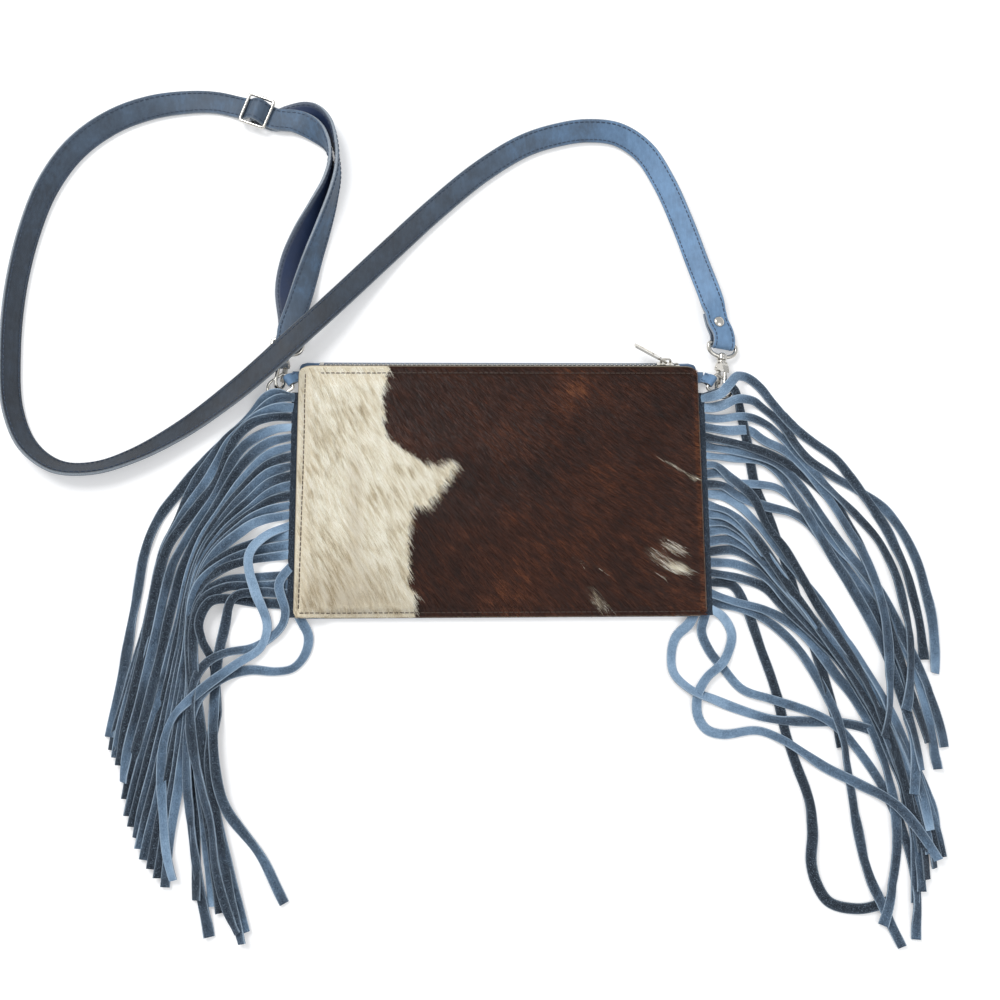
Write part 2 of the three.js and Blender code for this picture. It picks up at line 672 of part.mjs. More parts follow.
// Gate: swings on its pin, its free end closing against the inside of the hook's tip. Origin on the pin.
function claspGate() {
  const tipX = HOOK_LENGTH - HOOK_HALF_OPENING - 2.6 - GATE_PIVOT[0];
  const innerY = -HOOK_HALF_OPENING + 0.2 + HOOK_WIRE + RUNNING_GAP - GATE_PIVOT[1];
  const shape = new THREE.Shape();
  shape.moveTo(0, -1.5);
  shape.lineTo(tipX - 0.4, innerY - 2.2);
  shape.lineTo(tipX - 0.4, innerY);
  shape.lineTo(tipX + 1.8, innerY);
  shape.lineTo(tipX + 1.8, innerY + 0.9);
  shape.lineTo(tipX - 0.6, innerY + 1.1);
  shape.lineTo(1.0, 1.3);
  shape.absarc(0, 0, 1.6, Math.PI * 0.33, Math.PI * 1.5, false);
  const hole = new THREE.Path();
  hole.absarc(0, 0, PIN_RADIUS + RUNNING_GAP, 0, Math.PI * 2, true);
  shape.holes.push(hole);
  return plate(shape, -GATE_THICKNESS / 2, GATE_THICKNESS / 2, 5);
}

function gatePin() {
  const half = 2.7;
  return turned([[-half, 0], [-half, PIN_RADIUS - 0.15], [-half + 0.2, PIN_RADIUS], [half - 0.2, PIN_RADIUS],
    [half, PIN_RADIUS - 0.15], [half, 0]], 12).rotateY(Math.PI / 2);
}

// Turns a group so that its +X runs along axis and its +Z is as near up as it can be.
function aim(group, axis) {
  const x = new THREE.Vector3(...axis).normalize();
  const y = Z_AXIS.clone().cross(x).normalize();
  const z = x.clone().cross(y);
  group.quaternion.setFromRotationMatrix(new THREE.Matrix4().makeBasis(x, y, z));
}

function clasp(name) {
  const spec = CLASPS[name];
  const axis = new THREE.Vector3(...spec.axis).normalize();
  const frame = new THREE.Group();
  frame.position.set(...spec.bar).addScaledVector(axis, EYE_DEPTH);
  aim(frame, spec.axis);
  root.add(frame);
  const eye = add(`clasp_eye_${name}`, claspEye(), FINISH.nickel, frame);
  eye.rotation.x = THREE.MathUtils.degToRad(spec.eyeRoll);
  const hookFrame = new THREE.Group();
  hookFrame.rotation.x = THREE.MathUtils.degToRad(spec.hookRoll);
  frame.add(hookFrame);
  add(`clasp_hook_${name}`, claspHook(), FINISH.nickel, hookFrame);
  const gate = add(`clasp_gate_${name}`, claspGate(), FINISH.nickel, hookFrame);
  gate.position.set(...GATE_PIVOT, 0);
  const pin = add(`gate_pin_${name}`, gatePin(), FINISH.nickel, hookFrame);
  pin.position.set(...GATE_PIVOT, 0);
}

function ring(name) {
  const spec = RINGS[name];
  const frame = new THREE.Group();
  frame.position.set(...spec.bar);
  frame.rotation.set(0, 0, THREE.MathUtils.degToRad(spec.heading));
  root.add(frame);
  add(`d_ring_${name}`, dRing(), FINISH.nickel, frame);
}

// Strap: one ribbon, folded back round both clasps and round the middle bar of its slide

// Route points: x, y, z of the middle of the strap, and its roll in degrees, left edge up.
const STRAP_MAIN = [
  [137, 128, 6.6, -24], [130, 150, 5.6, -27], [121, 178, 5.0, -27], [110, 206, 4.9, -27],
  [97, 228, 4.9, -27], [80, 240, 4.9, -26], [60, 242.5, 4.7, -24], [40, 239.5, 4.2, -18],
  [18, 232, 3.6, -13], [-10, 214, 3.4, -10], [-41, 187, 3.4, -8], [-68, 160, 4.4, -6],
  [-92, 134, 8.5, -3], [-112, 112, 13.2, 0], [-130, 94, 14.6, 2], [-148, 77, 13.2, 6],
  [-168, 61, 9.0, 14], [-198, 39, 6.2, 28], [-228, 22, 6.2, 42], [-252, 14, 6.9, 50],
  [-274, 15, 7.2, 54], [-292, 28, 7.4, 56], [-303, 52, 7.4, 57], [-307, 90, 7.4, 57],
  [-306, 130, 7.4, 56], [-300, 168, 7.2, 54], [-290, 200, 6.9, 50], [-274, 226, 6.4, 44],
  [-252, 245, 5.4, 34], [-228, 256, 4.2, 22], [-204, 261, 2.6, 9], [-186, 261.5, 1.6, 2],
];
const STRAP_RUNNING = [
  [-133, 247.5, 4.2, 8], [-121, 241, 6.2, 40], [-112, 231, 8.0, 76], [-108.5, 217, 8.2, 92],
  [-110.5, 202, 7.8, 108], [-117, 186, 7.0, 128], [-126, 168, 5.8, 146], [-133, 150, 4.4, 162],
  [-136, 131, 3.4, 174],
];
const STRAP_BACK = [
  [-128.5, 119, 6.8, 12], [-124, 136, 6.0, 30], [-119, 153, 7.2, 48], [-113, 172, 7.9, 62],
  [-107, 194, 8.2, 78], [-104.2, 212, 8.3, 88], [-106, 229, 8.2, 98], [-112.5, 244.5, 7.4, 116],
  [-124, 252.5, 4.4, 150], [-137, 252, 2.4, 174],
];

function rolledSide(heading, roll) {
  const left = new THREE.Vector3(-heading.y, heading.x, 0).normalize();
  const angle = THREE.MathUtils.degToRad(roll);
  return left.multiplyScalar(Math.cos(angle)).addScaledVector(Z_AXIS, Math.sin(angle));
}

function routeStations(route) {
  return route.map(([x, y, z, roll], i) => {
    const before = route[Math.max(i - 1, 0)];
    const after = route[Math.min(i + 1, route.length - 1)];
    const heading = new THREE.Vector3(after[0] - before[0], after[1] - before[1], 0);
    const point = new THREE.Vector3(x, y, z);
    return { point, side: rolledSide(heading, roll), thickness: STRAP_THICKNESS };
  });
}

// Directions in a strap fold, by distance from the bar: square to the bar, then turning to the strap.
function foldFrame(spec, distance) {
  const square = new THREE.Vector3(...spec.axis).normalize().negate();
  const strapHeading = new THREE.Vector3(...spec.strap, 0).normalize();
  const along = square.lerp(strapHeading, smooth((distance - 2) / 13)).normalize();
  const roll = THREE.MathUtils.degToRad(spec.eyeRoll);
  const side = new THREE.Vector3(-along.y, along.x, 0).applyAxisAngle(along, -roll);
  return { along, side, up: along.clone().cross(side).normalize() };
}

// Stations round a clasp's bar. path holds distance from the bar, height and thickness in the strap's plane.
function foldStations(spec, path) {
  return path.map(([distance, height, thickness]) => {
    const { along, side, up } = foldFrame(spec, distance);
    const point = new THREE.Vector3(...spec.bar);
    point.addScaledVector(along, distance).addScaledVector(up, height);
    return { point, side, thickness };
  });
}

const FOLD_UNDERSIDE = [[22, -1.35, 2.2], [15, -1.35, 2.2]];
const FOLD_UPPER_SIDE = [[15, 1.35, 2.2], [22, 1.25, 2.2]];
const FOLD_BIGHT = [
  [8, -1.9, 1.8], [3, -2.5, SKIVED_THICKNESS], [-0.6, -2.5, SKIVED_THICKNESS],
  [-1.9, -1.75, SKIVED_THICKNESS], [-2.55, 0, SKIVED_THICKNESS], [-1.9, 1.75, SKIVED_THICKNESS],
  [-0.6, 2.5, SKIVED_THICKNESS], [3, 2.5, SKIVED_THICKNESS], [8, 1.9, 1.8],
];

// Stations at the slide, in its own frame: distance along the strap, height and thickness.
function slideStations(path, heading) {
  const angle = THREE.MathUtils.degToRad(STRAP_SLIDE.heading);
  const along = new THREE.Vector3(Math.cos(angle), Math.sin(angle), 0);
  const centre = new THREE.Vector3(...STRAP_SLIDE.centre, 0);
  const side = new THREE.Vector3(-along.y, along.x, 0).multiplyScalar(heading);
  return path.map(([u, z, thickness]) => ({
    point: centre.clone().addScaledVector(along, u).addScaledVector(Z_AXIS, z),
    side: side.clone(),
    thickness,
  }));
}

const OVER_SLIDE = [
  [-15, 1.5, 2.2], [-8.4, 3.4, 2.0], [-5.6, 5.4, 2.0], [-3.4, 7.9, 2.0], [0, 9.3, 2.0], [3.4, 7.9, 2.0],
  [5.6, 5.4, 2.0], [8.4, 4.0, 2.0], [14, 3.9, 2.2],
];
const ROUND_BAR = [
  [13, 1.5, 2.2], [7, 1.5, 2.0], [3, 2.0, 1.6], [0, 2.95, SKIVED_THICKNESS],
  [-1.6, 3.7, SKIVED_THICKNESS], [-2.05, 5.0, SKIVED_THICKNESS], [-1.5, 6.4, SKIVED_THICKNESS],
  [0, 7.05, SKIVED_THICKNESS], [1.4, 6.5, SKIVED_THICKNESS],
];

// Puts even stations along a smooth curve through the given ones, closer where it turns sharply.
function smoothStations(stations, spacing) {
  const curve = new THREE.CatmullRomCurve3(stations.map((s) => s.point), false, 'centripetal');
  const out = [];
  stations.slice(0, -1).forEach((station, i) => {
    const next = stations[i + 1];
    const steps = Math.max(1, Math.round(station.point.distanceTo(next.point) / spacing));
    for (let k = 0; k < steps; k++) {
      const t = k / steps;
      const point = curve.getPoint((i + t) / (stations.length - 1));
      const side = station.side.clone().lerp(next.side, t).normalize();
      const thickness = THREE.MathUtils.lerp(station.thickness, next.thickness, t);
      const clear = Math.abs(side.z) * STRAP_WIDTH / 2 + Math.sqrt(1 - side.z ** 2) * thickness / 2 + 0.1;
      point.z = Math.max(point.z, clear);
      out.push({ point, side, thickness, width: STRAP_WIDTH });
    }
  });
  out.push({ ...stations.at(-1), width: STRAP_WIDTH });
  return out;
}

function strapRibbon() {
  const stations = [
    ...foldStations(CLASPS.right, [...FOLD_UNDERSIDE, ...FOLD_BIGHT, ...FOLD_UPPER_SIDE]),
    ...routeStations(STRAP_MAIN),
    ...slideStations(OVER_SLIDE, 1),
    ...routeStations(STRAP_RUNNING),
    ...foldStations(CLASPS.left, [[15, -2.0, 2.2], ...FOLD_BIGHT]),
    ...routeStations(STRAP_BACK),
    ...slideStations(ROUND_BAR, 1),
  ];
  const rivetHole = turned([[-9, 0], [-9, 1.6], [9, 1.6], [9, 0]]);
  placeAcrossFold(rivetHole, RIVET_DISTANCE);
  return cut(strip(smoothStations(stations, 10)), rivetHole);
}

// Stands a piece turned along X square to the strap, at the given distance from the right clasp's bar.
function placeAcrossFold(geometry, distance) {
  const { along, up } = foldFrame(CLASPS.right, distance);
  const centre = new THREE.Vector3(...CLASPS.right.bar).addScaledVector(along, distance);
  const matrix = new THREE.Matrix4().makeBasis(up, along, up.clone().cross(along));
  geometry.applyMatrix4(matrix.setPosition(centre));
  return geometry;
}

// The rivet clamps the folded end: a dome on top, a flange beneath.
function strapRivet() {
  return turned([[-3.4, 0], [-3.4, 3.0], [-2.9, 3.4], [-2.75, 3.4], [-2.75, 1.2], [2.95, 1.2], [2.95, 3.5],
    [3.2, 3.5], [4.1, 2.5], [4.5, 0]]);
}

// Slide: a rounded frame with a middle bar set a little lower, through which the strap is laced.
function strapSlide() {
  const halfAcross = STRAP_WIDTH / 2 + 2.4;
  const path = new THREE.Path();
  const r = 2;
  const a = SLIDE_BAR_SPACING;
  path.moveTo(-a, -halfAcross + r);
  path.quadraticCurveTo(-a, -halfAcross, -a + r, -halfAcross);
  path.lineTo(a - r, -halfAcross);
  path.quadraticCurveTo(a, -halfAcross, a, -halfAcross + r);
  path.lineTo(a, halfAcross - r);
  path.quadraticCurveTo(a, halfAcross, a - r, halfAcross);
  path.lineTo(-a + r, halfAcross);
  path.quadraticCurveTo(-a, halfAcross, -a, halfAcross - r);
  const points = dropRepeats(path.getPoints(4).map((p) => new THREE.Vector3(p.x, p.y, 6.4)));
  const frame = wire(points, SLIDE_WIRE, Z_AXIS, true);
  const barHalf = [[halfAcross - 1.6, 5.0], [halfAcross + 0.3, 6.2]];
  const barPoints = [...barHalf.map(([y, z]) => [-y, z]).reverse(), ...barHalf]
    .map(([y, z]) => new THREE.Vector3(0, y, z));
  const bar = wire(barPoints, SLIDE_WIRE, X_AXIS);
  return join(frame, bar);
}

// Fringe: one piece of suede a side, its header in the seam and its strands cut from it

// Routes of the guide strands, by their place in the row; the strands between them follow their neighbours.
const RIGHT_GUIDES = {
  1: [
    [139, 60], [145, 66], [152, 73], [160, 74], [168, 68], [176, 57], [186, 44], [201, 31], [215, 20],
    [228, 1], [244, -24], [256, -55], [262, -90], [262, -125],
  ],
  2: [
    [141, 54], [152, 58], [163, 58], [172, 52], [182, 42], [189, 29], [197, 19], [209, 11], [228, 0],
    [246, -14], [260, -38], [268, -70], [270, -105], [266, -130],
  ],
  3: [
    [143, 47], [157, 48], [170, 44], [179, 36], [195, 18], [205, 5], [217, -7], [227, -17], [240, -34],
    [250, -60], [254, -95], [250, -130], [243, -150],
  ],
  4: [
    [148, 39], [159, 39], [170, 32], [181, 26], [195, 13], [207, -3], [218, -22], [230, -46],
    [238, -75], [240, -108], [236, -140], [230, -162],
  ],
  5: [
    [148, 31], [169, 24], [185, 16], [200, 5], [213, -9], [219, -20], [226, -34], [234, -60],
    [243, -92], [252, -125], [258, -150], [262, -170],
  ],
  6: [
    [147, 26], [166, 21], [179, 15], [189, 5], [199, -10], [209, -26], [219, -41], [238, -66],
    [250, -92], [262, -120], [270, -150], [272, -168],
  ],
  7: [
    [147, 21], [166, 19], [177, 11], [186, -2], [196, -20], [207, -40], [220, -62], [233, -88],
    [243, -115], [250, -145], [255, -182],
  ],
  8: [
    [137, 16], [145, 9], [160, -5], [168, -23], [178, -37], [186, -51], [197, -72], [210, -96],
    [224, -122], [235, -150], [243, -180], [249, -214],
  ],
  9: [
    [142, 11], [149, 5], [162, 4], [175, 2], [184, -4], [194, -13], [204, -23], [213, -36], [225, -50],
    [240, -74], [252, -102], [261, -132], [268, -192],
  ],
  10: [
    [141, 3], [152, -4], [167, -10], [183, -14], [193, -20], [203, -31], [216, -47], [225, -60],
    [238, -84], [246, -112], [250, -142], [250, -172], [245, -207],
  ],
  11: [
    [141, -3], [152, -10], [161, -20], [173, -35], [186, -53], [199, -70], [220, -104], [234, -130],
    [246, -160], [254, -190], [258, -217],
  ],
  12: [
    [144, -14], [156, -26], [166, -40], [177, -58], [188, -75], [202, -96], [217, -120], [232, -148],
    [243, -178], [250, -205], [253, -232],
  ],
  15: [
    [142, -25], [156, -34], [170, -52], [184, -70], [200, -90], [218, -111], [236, -140], [250, -170],
    [260, -200], [268, -240],
  ],
  17: [
    [146, -38], [160, -45], [176, -62], [192, -82], [208, -101], [224, -126], [238, -155], [248, -185],
    [253, -215], [254, -252],
  ],
  19: [
    [151, -56], [166, -62], [180, -78], [195, -93], [211, -110], [220, -126], [233, -153], [243, -183],
    [248, -213], [246, -262],
  ],
  21: [
    [144, -70], [165, -76], [180, -84], [193, -97], [207, -116], [218, -131], [230, -158], [237, -188],
    [238, -218], [232, -246], [222, -274],
  ],
  22: [
    [148, -74], [168, -84], [184, -100], [197, -122], [206, -145], [211, -175], [214, -205],
    [220, -235], [237, -276],
  ],
};
// Strands that go their own way: place of their root, and route.
const RIGHT_STRAYS = [
  { row: 0, route: [
    [134, 60.4], [140, 61.5], [147, 65], [153, 56], [158, 32], [162, 4], [171, -20], [180, -50],
    [190, -85], [200, -120], [206, -150], [208, -178],
  ] },
  { row: 20, route: [
    [145, -60], [153, -75], [161, -100], [169, -126], [174, -152], [180, -172], [186, -191],
    [187, -209], [185, -227], [188, -240], [195, -250], [212, -254], [228, -251], [242, -246],
  ] },
  { from: [120, -77.5], route: [
    [116, -84], [108, -92], [105, -102], [106, -114], [116, -124], [130, -130], [145, -136],
    [165, -142], [188, -144], [210, -145], [232, -152], [250, -168], [260, -192], [264, -222],
  ] },
  { from: [126.5, -77.5], route: [
    [124, -88], [129, -101], [136, -110], [148, -124], [165, -130], [189, -138], [202, -145],
    [216, -159], [232, -184], [243, -212], [248, -242], [246, -272],
  ] },
  { from: [130, -74.5], route: [
    [138, -80], [143, -91], [137, -107], [126, -117], [120, -128], [120, -140], [125, -148],
    [135, -151], [156, -149], [170, -154], [198, -172], [216, -181], [238, -194], [268, -236],
  ] },
];
const LEFT_GUIDES = {
  0: [
    [-134, 60], [-141, 61], [-150, 56], [-163, 42], [-184, 21], [-200, 0], [-212, -17], [-219, -36],
    [-222, -58], [-225, -79], [-229, -110], [-234, -140], [-238, -168],
  ],
  1: [
    [-141, 57], [-156, 46], [-171, 34], [-182, 19], [-193, 0], [-200, -18], [-208, -38], [-212, -58],
    [-217, -85], [-224, -115], [-231, -145], [-236, -172],
  ],
  3: [
    [-145, 46], [-158, 41], [-167, 31], [-172, 19], [-178, 4], [-187, -8], [-197, -22], [-205, -35],
    [-210, -53], [-214, -80], [-219, -110], [-225, -140], [-229, -182],
  ],
  6: [
    [-145, 24], [-160, 8], [-172, -10], [-183, -28], [-191, -50], [-197, -80], [-204, -115],
    [-212, -150], [-220, -185], [-224, -215],
  ],
  10: [
    [-143, 0], [-157, -12], [-171, -26], [-182, -42], [-188, -65], [-191, -100], [-197, -140],
    [-204, -180], [-211, -215], [-214, -234],
  ],
  13: [
    [-146, -18], [-163, -28], [-177, -42], [-185, -60], [-187, -90], [-188, -130], [-192, -170],
    [-197, -210], [-199, -242],
  ],
  16: [
    [-150, -37], [-170, -45], [-184, -58], [-189, -80], [-187, -120], [-183, -160], [-177, -200],
    [-172, -235], [-170, -258],
  ],
  20: [
    [-150, -59], [-168, -60], [-181, -68], [-186, -85], [-184, -115], [-179, -150], [-172, -185],
    [-163, -220], [-150, -264],
  ],
  22: [
    [-151, -69], [-166, -67], [-177, -69], [-183, -81], [-181, -92], [-176, -103], [-172, -130],
    [-174, -165], [-168, -205], [-160, -240], [-152, -270],
  ],
};
const LEFT_STRAYS = [
  { row: 21, route: [
    [-150, -63], [-163, -66], [-168, -80], [-171, -97], [-173, -112], [-172, -156], [-167, -184],
    [-160, -198], [-144, -218], [-129, -246],
  ] },
  { from: [-124, -77.5], route: [
    [-118, -90], [-120, -101], [-127, -109], [-137, -111], [-153, -110], [-166, -113], [-177, -121],
    [-186, -140], [-188, -170], [-184, -205], [-178, -238], [-172, -264],
  ] },
  { row: 18, route: [
    [-136, -58], [-132, -76], [-136, -86], [-150, -96], [-168, -100], [-178, -106], [-184, -116],
    [-186, -134], [-184, -155], [-178, -180], [-172, -202], [-169, -225], [-162, -248], [-153, -265],
  ] },
  { row: 14, route: [
    [-145, -28], [-154, -40], [-154, -50], [-150, -63], [-143, -84], [-147, -97], [-160, -106],
    [-172, -115], [-185, -126], [-197, -138], [-202, -152], [-203, -171], [-201, -194], [-198, -217],
    [-192, -238],
  ] },
];
function rowY(row) {
  return row === 0 ? TOP_STRAND_Y : FRINGE_TOP_Y - FRINGE_PITCH * row;
}

// Even points along a route, cut at the fringe's length.
function routePoints(start, route) {
  const control = [start, ...route].map(([x, y]) => new THREE.Vector3(x, y, 0));
  const curve = new THREE.CatmullRomCurve3(control, false, 'centripetal');
  const reach = Math.min(FRINGE_LENGTH / curve.getLength(), 1);
  return Array.from({ length: ROUTE_STEPS + 1 }, (_, k) => curve.getPointAt((k / ROUTE_STEPS) * reach));
}

// Routes of all the strands of one side, in the order in which they lie on each other.
function strandRoutes(side) {
  const guides = side > 0 ? RIGHT_GUIDES : LEFT_GUIDES;
  const strays = side > 0 ? RIGHT_STRAYS : LEFT_STRAYS;
  const rootX = side * STRAND_ROOT_X;
  const rows = Object.keys(guides).map(Number);
  const strayRows = strays.filter((s) => s.row !== undefined).map((s) => s.row);
  const guided = Object.fromEntries(rows.map((row) => [row, routePoints([rootX, rowY(row)], guides[row])]));
  const own = strays.map((s) => routePoints(s.from ?? [rootX, rowY(s.row)], s.route));
  const rest = [];
  for (let row = 0; row < ROWS; row++) {
    if (strayRows.includes(row)) continue;
    const low = Math.max(...rows.filter((r) => r <= row), rows[0]);
    const high = Math.min(...rows.filter((r) => r >= row));
    const t = high === low ? 0 : (row - low) / (high - low);
    rest.push(guided[low].map((p, k) => {
      const q = p.clone().lerp(guided[high][k], t);
      const near = 1 - smooth(k / 12);
      const skew = rowY(row) - THREE.MathUtils.lerp(rowY(low), rowY(high), t);
      q.y += near * skew;
      return q;
    }));
  }
  return side > 0 ? [...own.slice(0, 4), ...rest.reverse(), own[4]] : [...rest, ...own];
}

// What the strands lie over: ends of a line, the reach either side of it and its height.
const HUMPS = {
  1: [
    { from: [143.6, 80], to: [142.2, 65], reach: 4.4, height: 10.9 },
    { from: [132.2, 65.8], to: [139.8, 60.5], reach: 2.2, height: 7.8 },
    { from: [139.3, 67.8], to: [143.1, 65.2], reach: 7.8, height: 7.8 },
    { from: [133.3, 67.4], to: [137.7, 73.6], reach: 3.6, height: 9.4 },
  ],
  [-1]: [
    { from: [-138.2, 81], to: [-141.2, 66], reach: 4.4, height: 10.9 },
    { from: [-130, 65.8], to: [-137.6, 60.5], reach: 2.2, height: 7.8 },
    { from: [-137.1, 67.8], to: [-140.9, 65.2], reach: 7.8, height: 7.8 },
    { from: [-131.1, 67.4], to: [-135.5, 73.6], reach: 3.6, height: 9.4 },
  ],
};
// Heights of what lies beneath, kept by cell.
class Ground {
  constructor(side) {
    this.cells = new Map();
    this.humps = HUMPS[side].map(({ from, to, reach, height }) => {
      const line = new THREE.Line3(new THREE.Vector3(...from, 0), new THREE.Vector3(...to, 0));
      return { line, reach, height };
    });
  }

  key(x, y) {
    return Math.round(x / CELL) * 1000 + Math.round(y / CELL);
  }

  at(x, y) {
    const point = new THREE.Vector3(x, y, 0);
    const nearest = new THREE.Vector3();
    let height = this.cells.get(this.key(x, y)) ?? 0;
    for (const hump of this.humps) {
      hump.line.closestPointToPoint(point, true, nearest);
      if (nearest.distanceTo(point) < hump.reach) height = Math.max(height, hump.height);
    }
    const onBag = Math.abs(x) < BAG_WIDTH / 2 + 0.6 && y > BOTTOM_Y - 0.6;
    return onBag ? Math.max(height, BACK_THICKNESS + 1.2) : height;
  }

  raise(x, y, height) {
    const key = this.key(x, y);
    this.cells.set(key, Math.max(this.cells.get(key) ?? 0, height));
  }
}

function levelHeading(route, k) {
  const before = route[Math.max(k - 1, 0)];
  const after = route[Math.min(k + 1, route.length - 1)];
  return new THREE.Vector3(after.x - before.x, after.y - before.y, 0).normalize();
}

// Lays a strand on the ground as it is: each edge rests on what is under it, so it leans like a shingle.
function layStrand(ground, route) {
  const lefts = route.map((_, k) => levelHeading(route, k)).map((h) => new THREE.Vector3(-h.y, h.x, 0));
  const under = (k, offset) => ground.at(route[k].x + lefts[k].x * offset, route[k].y + lefts[k].y * offset);
  const stations = STRAND_STATIONS.map((k, i) => {
    if (i === 0) {
      return { point: route[0].clone().setZ(SEAM_FLOOR_Z + HEADER_THICKNESS / 2), roll: 0, left: lefts[0] };
    }
    const share = i < 7 ? 0 : 0.5;
    const first = Math.ceil(THREE.MathUtils.lerp(STRAND_STATIONS[i - 1] + 1, k, share));
    const last = Math.floor(THREE.MathUtils.lerp((STRAND_STATIONS[i + 1] ?? k + 1) - 1, k, share));
    const most = { left: 0, middle: 0, right: 0 };
    for (let j = first; j <= last; j++) {
      most.left = Math.max(most.left, under(j, EDGE_REACH), under(j, EDGE_REACH * 0.5));
      most.middle = Math.max(most.middle, under(j, 0));
      most.right = Math.max(most.right, under(j, -EDGE_REACH), under(j, -EDGE_REACH * 0.5));
    }
    const tilt = Math.atan2(most.left - most.right, 2 * EDGE_REACH);
    const roll = THREE.MathUtils.clamp(tilt, -STEEPEST, STEEPEST);
    const lean = Math.tan(roll) * EDGE_REACH;
    const lowEdge = 0.12 + Math.abs(Math.sin(roll)) * STRAND_WIDTH / 2;
    const height = Math.max(most.left - lean, most.right + lean, most.middle, lowEdge);
    return { point: route[k].clone().setZ(height + STRAND_THICKNESS / 2), roll, left: lefts[k] };
  });
  stations.slice(1).forEach((to, i) => {
    const from = stations[i];
    const steps = STRAND_STATIONS[i + 1] - STRAND_STATIONS[i];
    for (let j = 1; j <= steps; j++) {
      const k = STRAND_STATIONS[i] + j;
      const middle = THREE.MathUtils.lerp(from.point.z, to.point.z, j / steps) + STRAND_THICKNESS / 2;
      const slope = Math.tan(THREE.MathUtils.lerp(from.roll, to.roll, j / steps));
      for (let offset = -STRAND_WIDTH / 2; offset <= STRAND_WIDTH / 2; offset += 1) {
        const x = route[k].x + lefts[k].x * offset;
        const y = route[k].y + lefts[k].y * offset;
        ground.raise(x, y, middle + slope * offset + STRAND_GAP);
      }
    }
  });
  return stations.map(settle);
}

// Away from the metalwork the strands' own weight presses a pile down, and they lean less.
function settle({ point, roll, left }) {
  const pressed = THREE.MathUtils.lerp(1, PRESSED, smooth((Math.abs(point.x) - FREE_X) / 12));
  const height = FREE_HEIGHT + Math.max(point.z - FREE_HEIGHT, 0) * pressed;
  return { point: point.clone().setZ(Math.min(point.z, height)), roll: roll * (0.4 + 0.6 * pressed), left };
}

function fringe(side) {
  const ground = new Ground(side);
  const x0 = side > 0 ? HEADER_INNER_X : -HEADER_OUTER_X;
  const x1 = x0 + HEADER_OUTER_X - HEADER_INNER_X;
  const header = box(x0, x1, BOTTOM_Y + 0.6, HEADER_TOP_Y, SEAM_FLOOR_Z, SEAM_FLOOR_Z + HEADER_THICKNESS);
  const strands = strandRoutes(side).map((route) => {
    const stations = layStrand(ground, route).map(({ point, roll, left }, i) => ({
      point,
      side: left.clone().multiplyScalar(Math.cos(roll)).addScaledVector(Z_AXIS, Math.sin(roll)),
      width: i === 0 ? 4.8 : STRAND_WIDTH,
      thickness: STRAND_THICKNESS,
    }));
    return strip(stations);
  });
  return joinSolid(header, ...strands);
}

add('back_panel', backPanel(), FINISH.leather);
add('front_panel', frontPanel(), FINISH.hide);
add('zip_tape_front', zipTape(-1), FINISH.tape, zip);
add('zip_tape_back', zipTape(1), FINISH.tape, zip);
const slider = add('zip_slider', sliderBody(), FINISH.nickel, zip);
slider.position.x = SLIDER_X;
const pull = add('zip_pull', pullTab(), FINISH.nickel, zip);
pull.position.set(SLIDER_X, 0, SLIDER_TOP + PULL_LIFT);
pull.rotation.y = PULL_ANGLE - Math.PI;
add('zip_bottom_stop', bottomStop(), FINISH.nickel, zip);
add('zip_top_stop_front', topStop(-1), FINISH.nickel, zip);
add('zip_top_stop_back', topStop(1), FINISH.nickel, zip);
add('ring_tab_right', ringTab(1), FINISH.leather);
add('ring_tab_left', ringTab(-1), FINISH.leather);
ring('right');
ring('left');
clasp('right');
clasp('left');
add('strap', strapRibbon(), FINISH.strap);
add('strap_rivet', placeAcrossFold(strapRivet(), RIVET_DISTANCE), FINISH.nickel);
const slide = add('strap_slide', strapSlide(), FINISH.nickel);
slide.position.set(...STRAP_SLIDE.centre, 0);
slide.rotation.z = THREE.MathUtils.degToRad(STRAP_SLIDE.heading);
add('fringe_right', fringe(1), FINISH.suede);
add('fringe_left', fringe(-1), FINISH.suede);

export default root;
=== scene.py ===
import math

import bmesh
import bpy
import numpy as np
from mathutils import Matrix, Vector
from mathutils.geometry import tessellate_polygon


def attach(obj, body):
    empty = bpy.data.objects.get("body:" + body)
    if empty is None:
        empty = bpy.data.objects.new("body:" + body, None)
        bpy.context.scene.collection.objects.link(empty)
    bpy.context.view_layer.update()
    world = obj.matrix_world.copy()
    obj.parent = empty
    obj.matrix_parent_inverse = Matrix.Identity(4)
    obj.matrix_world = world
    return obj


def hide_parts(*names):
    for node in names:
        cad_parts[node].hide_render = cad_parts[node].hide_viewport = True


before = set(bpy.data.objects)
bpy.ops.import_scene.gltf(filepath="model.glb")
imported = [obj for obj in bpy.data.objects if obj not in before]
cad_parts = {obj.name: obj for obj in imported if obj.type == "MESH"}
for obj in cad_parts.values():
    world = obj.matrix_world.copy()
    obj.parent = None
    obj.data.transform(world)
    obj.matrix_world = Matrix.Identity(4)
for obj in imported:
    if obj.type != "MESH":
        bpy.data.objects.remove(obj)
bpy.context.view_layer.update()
MM = 0.001

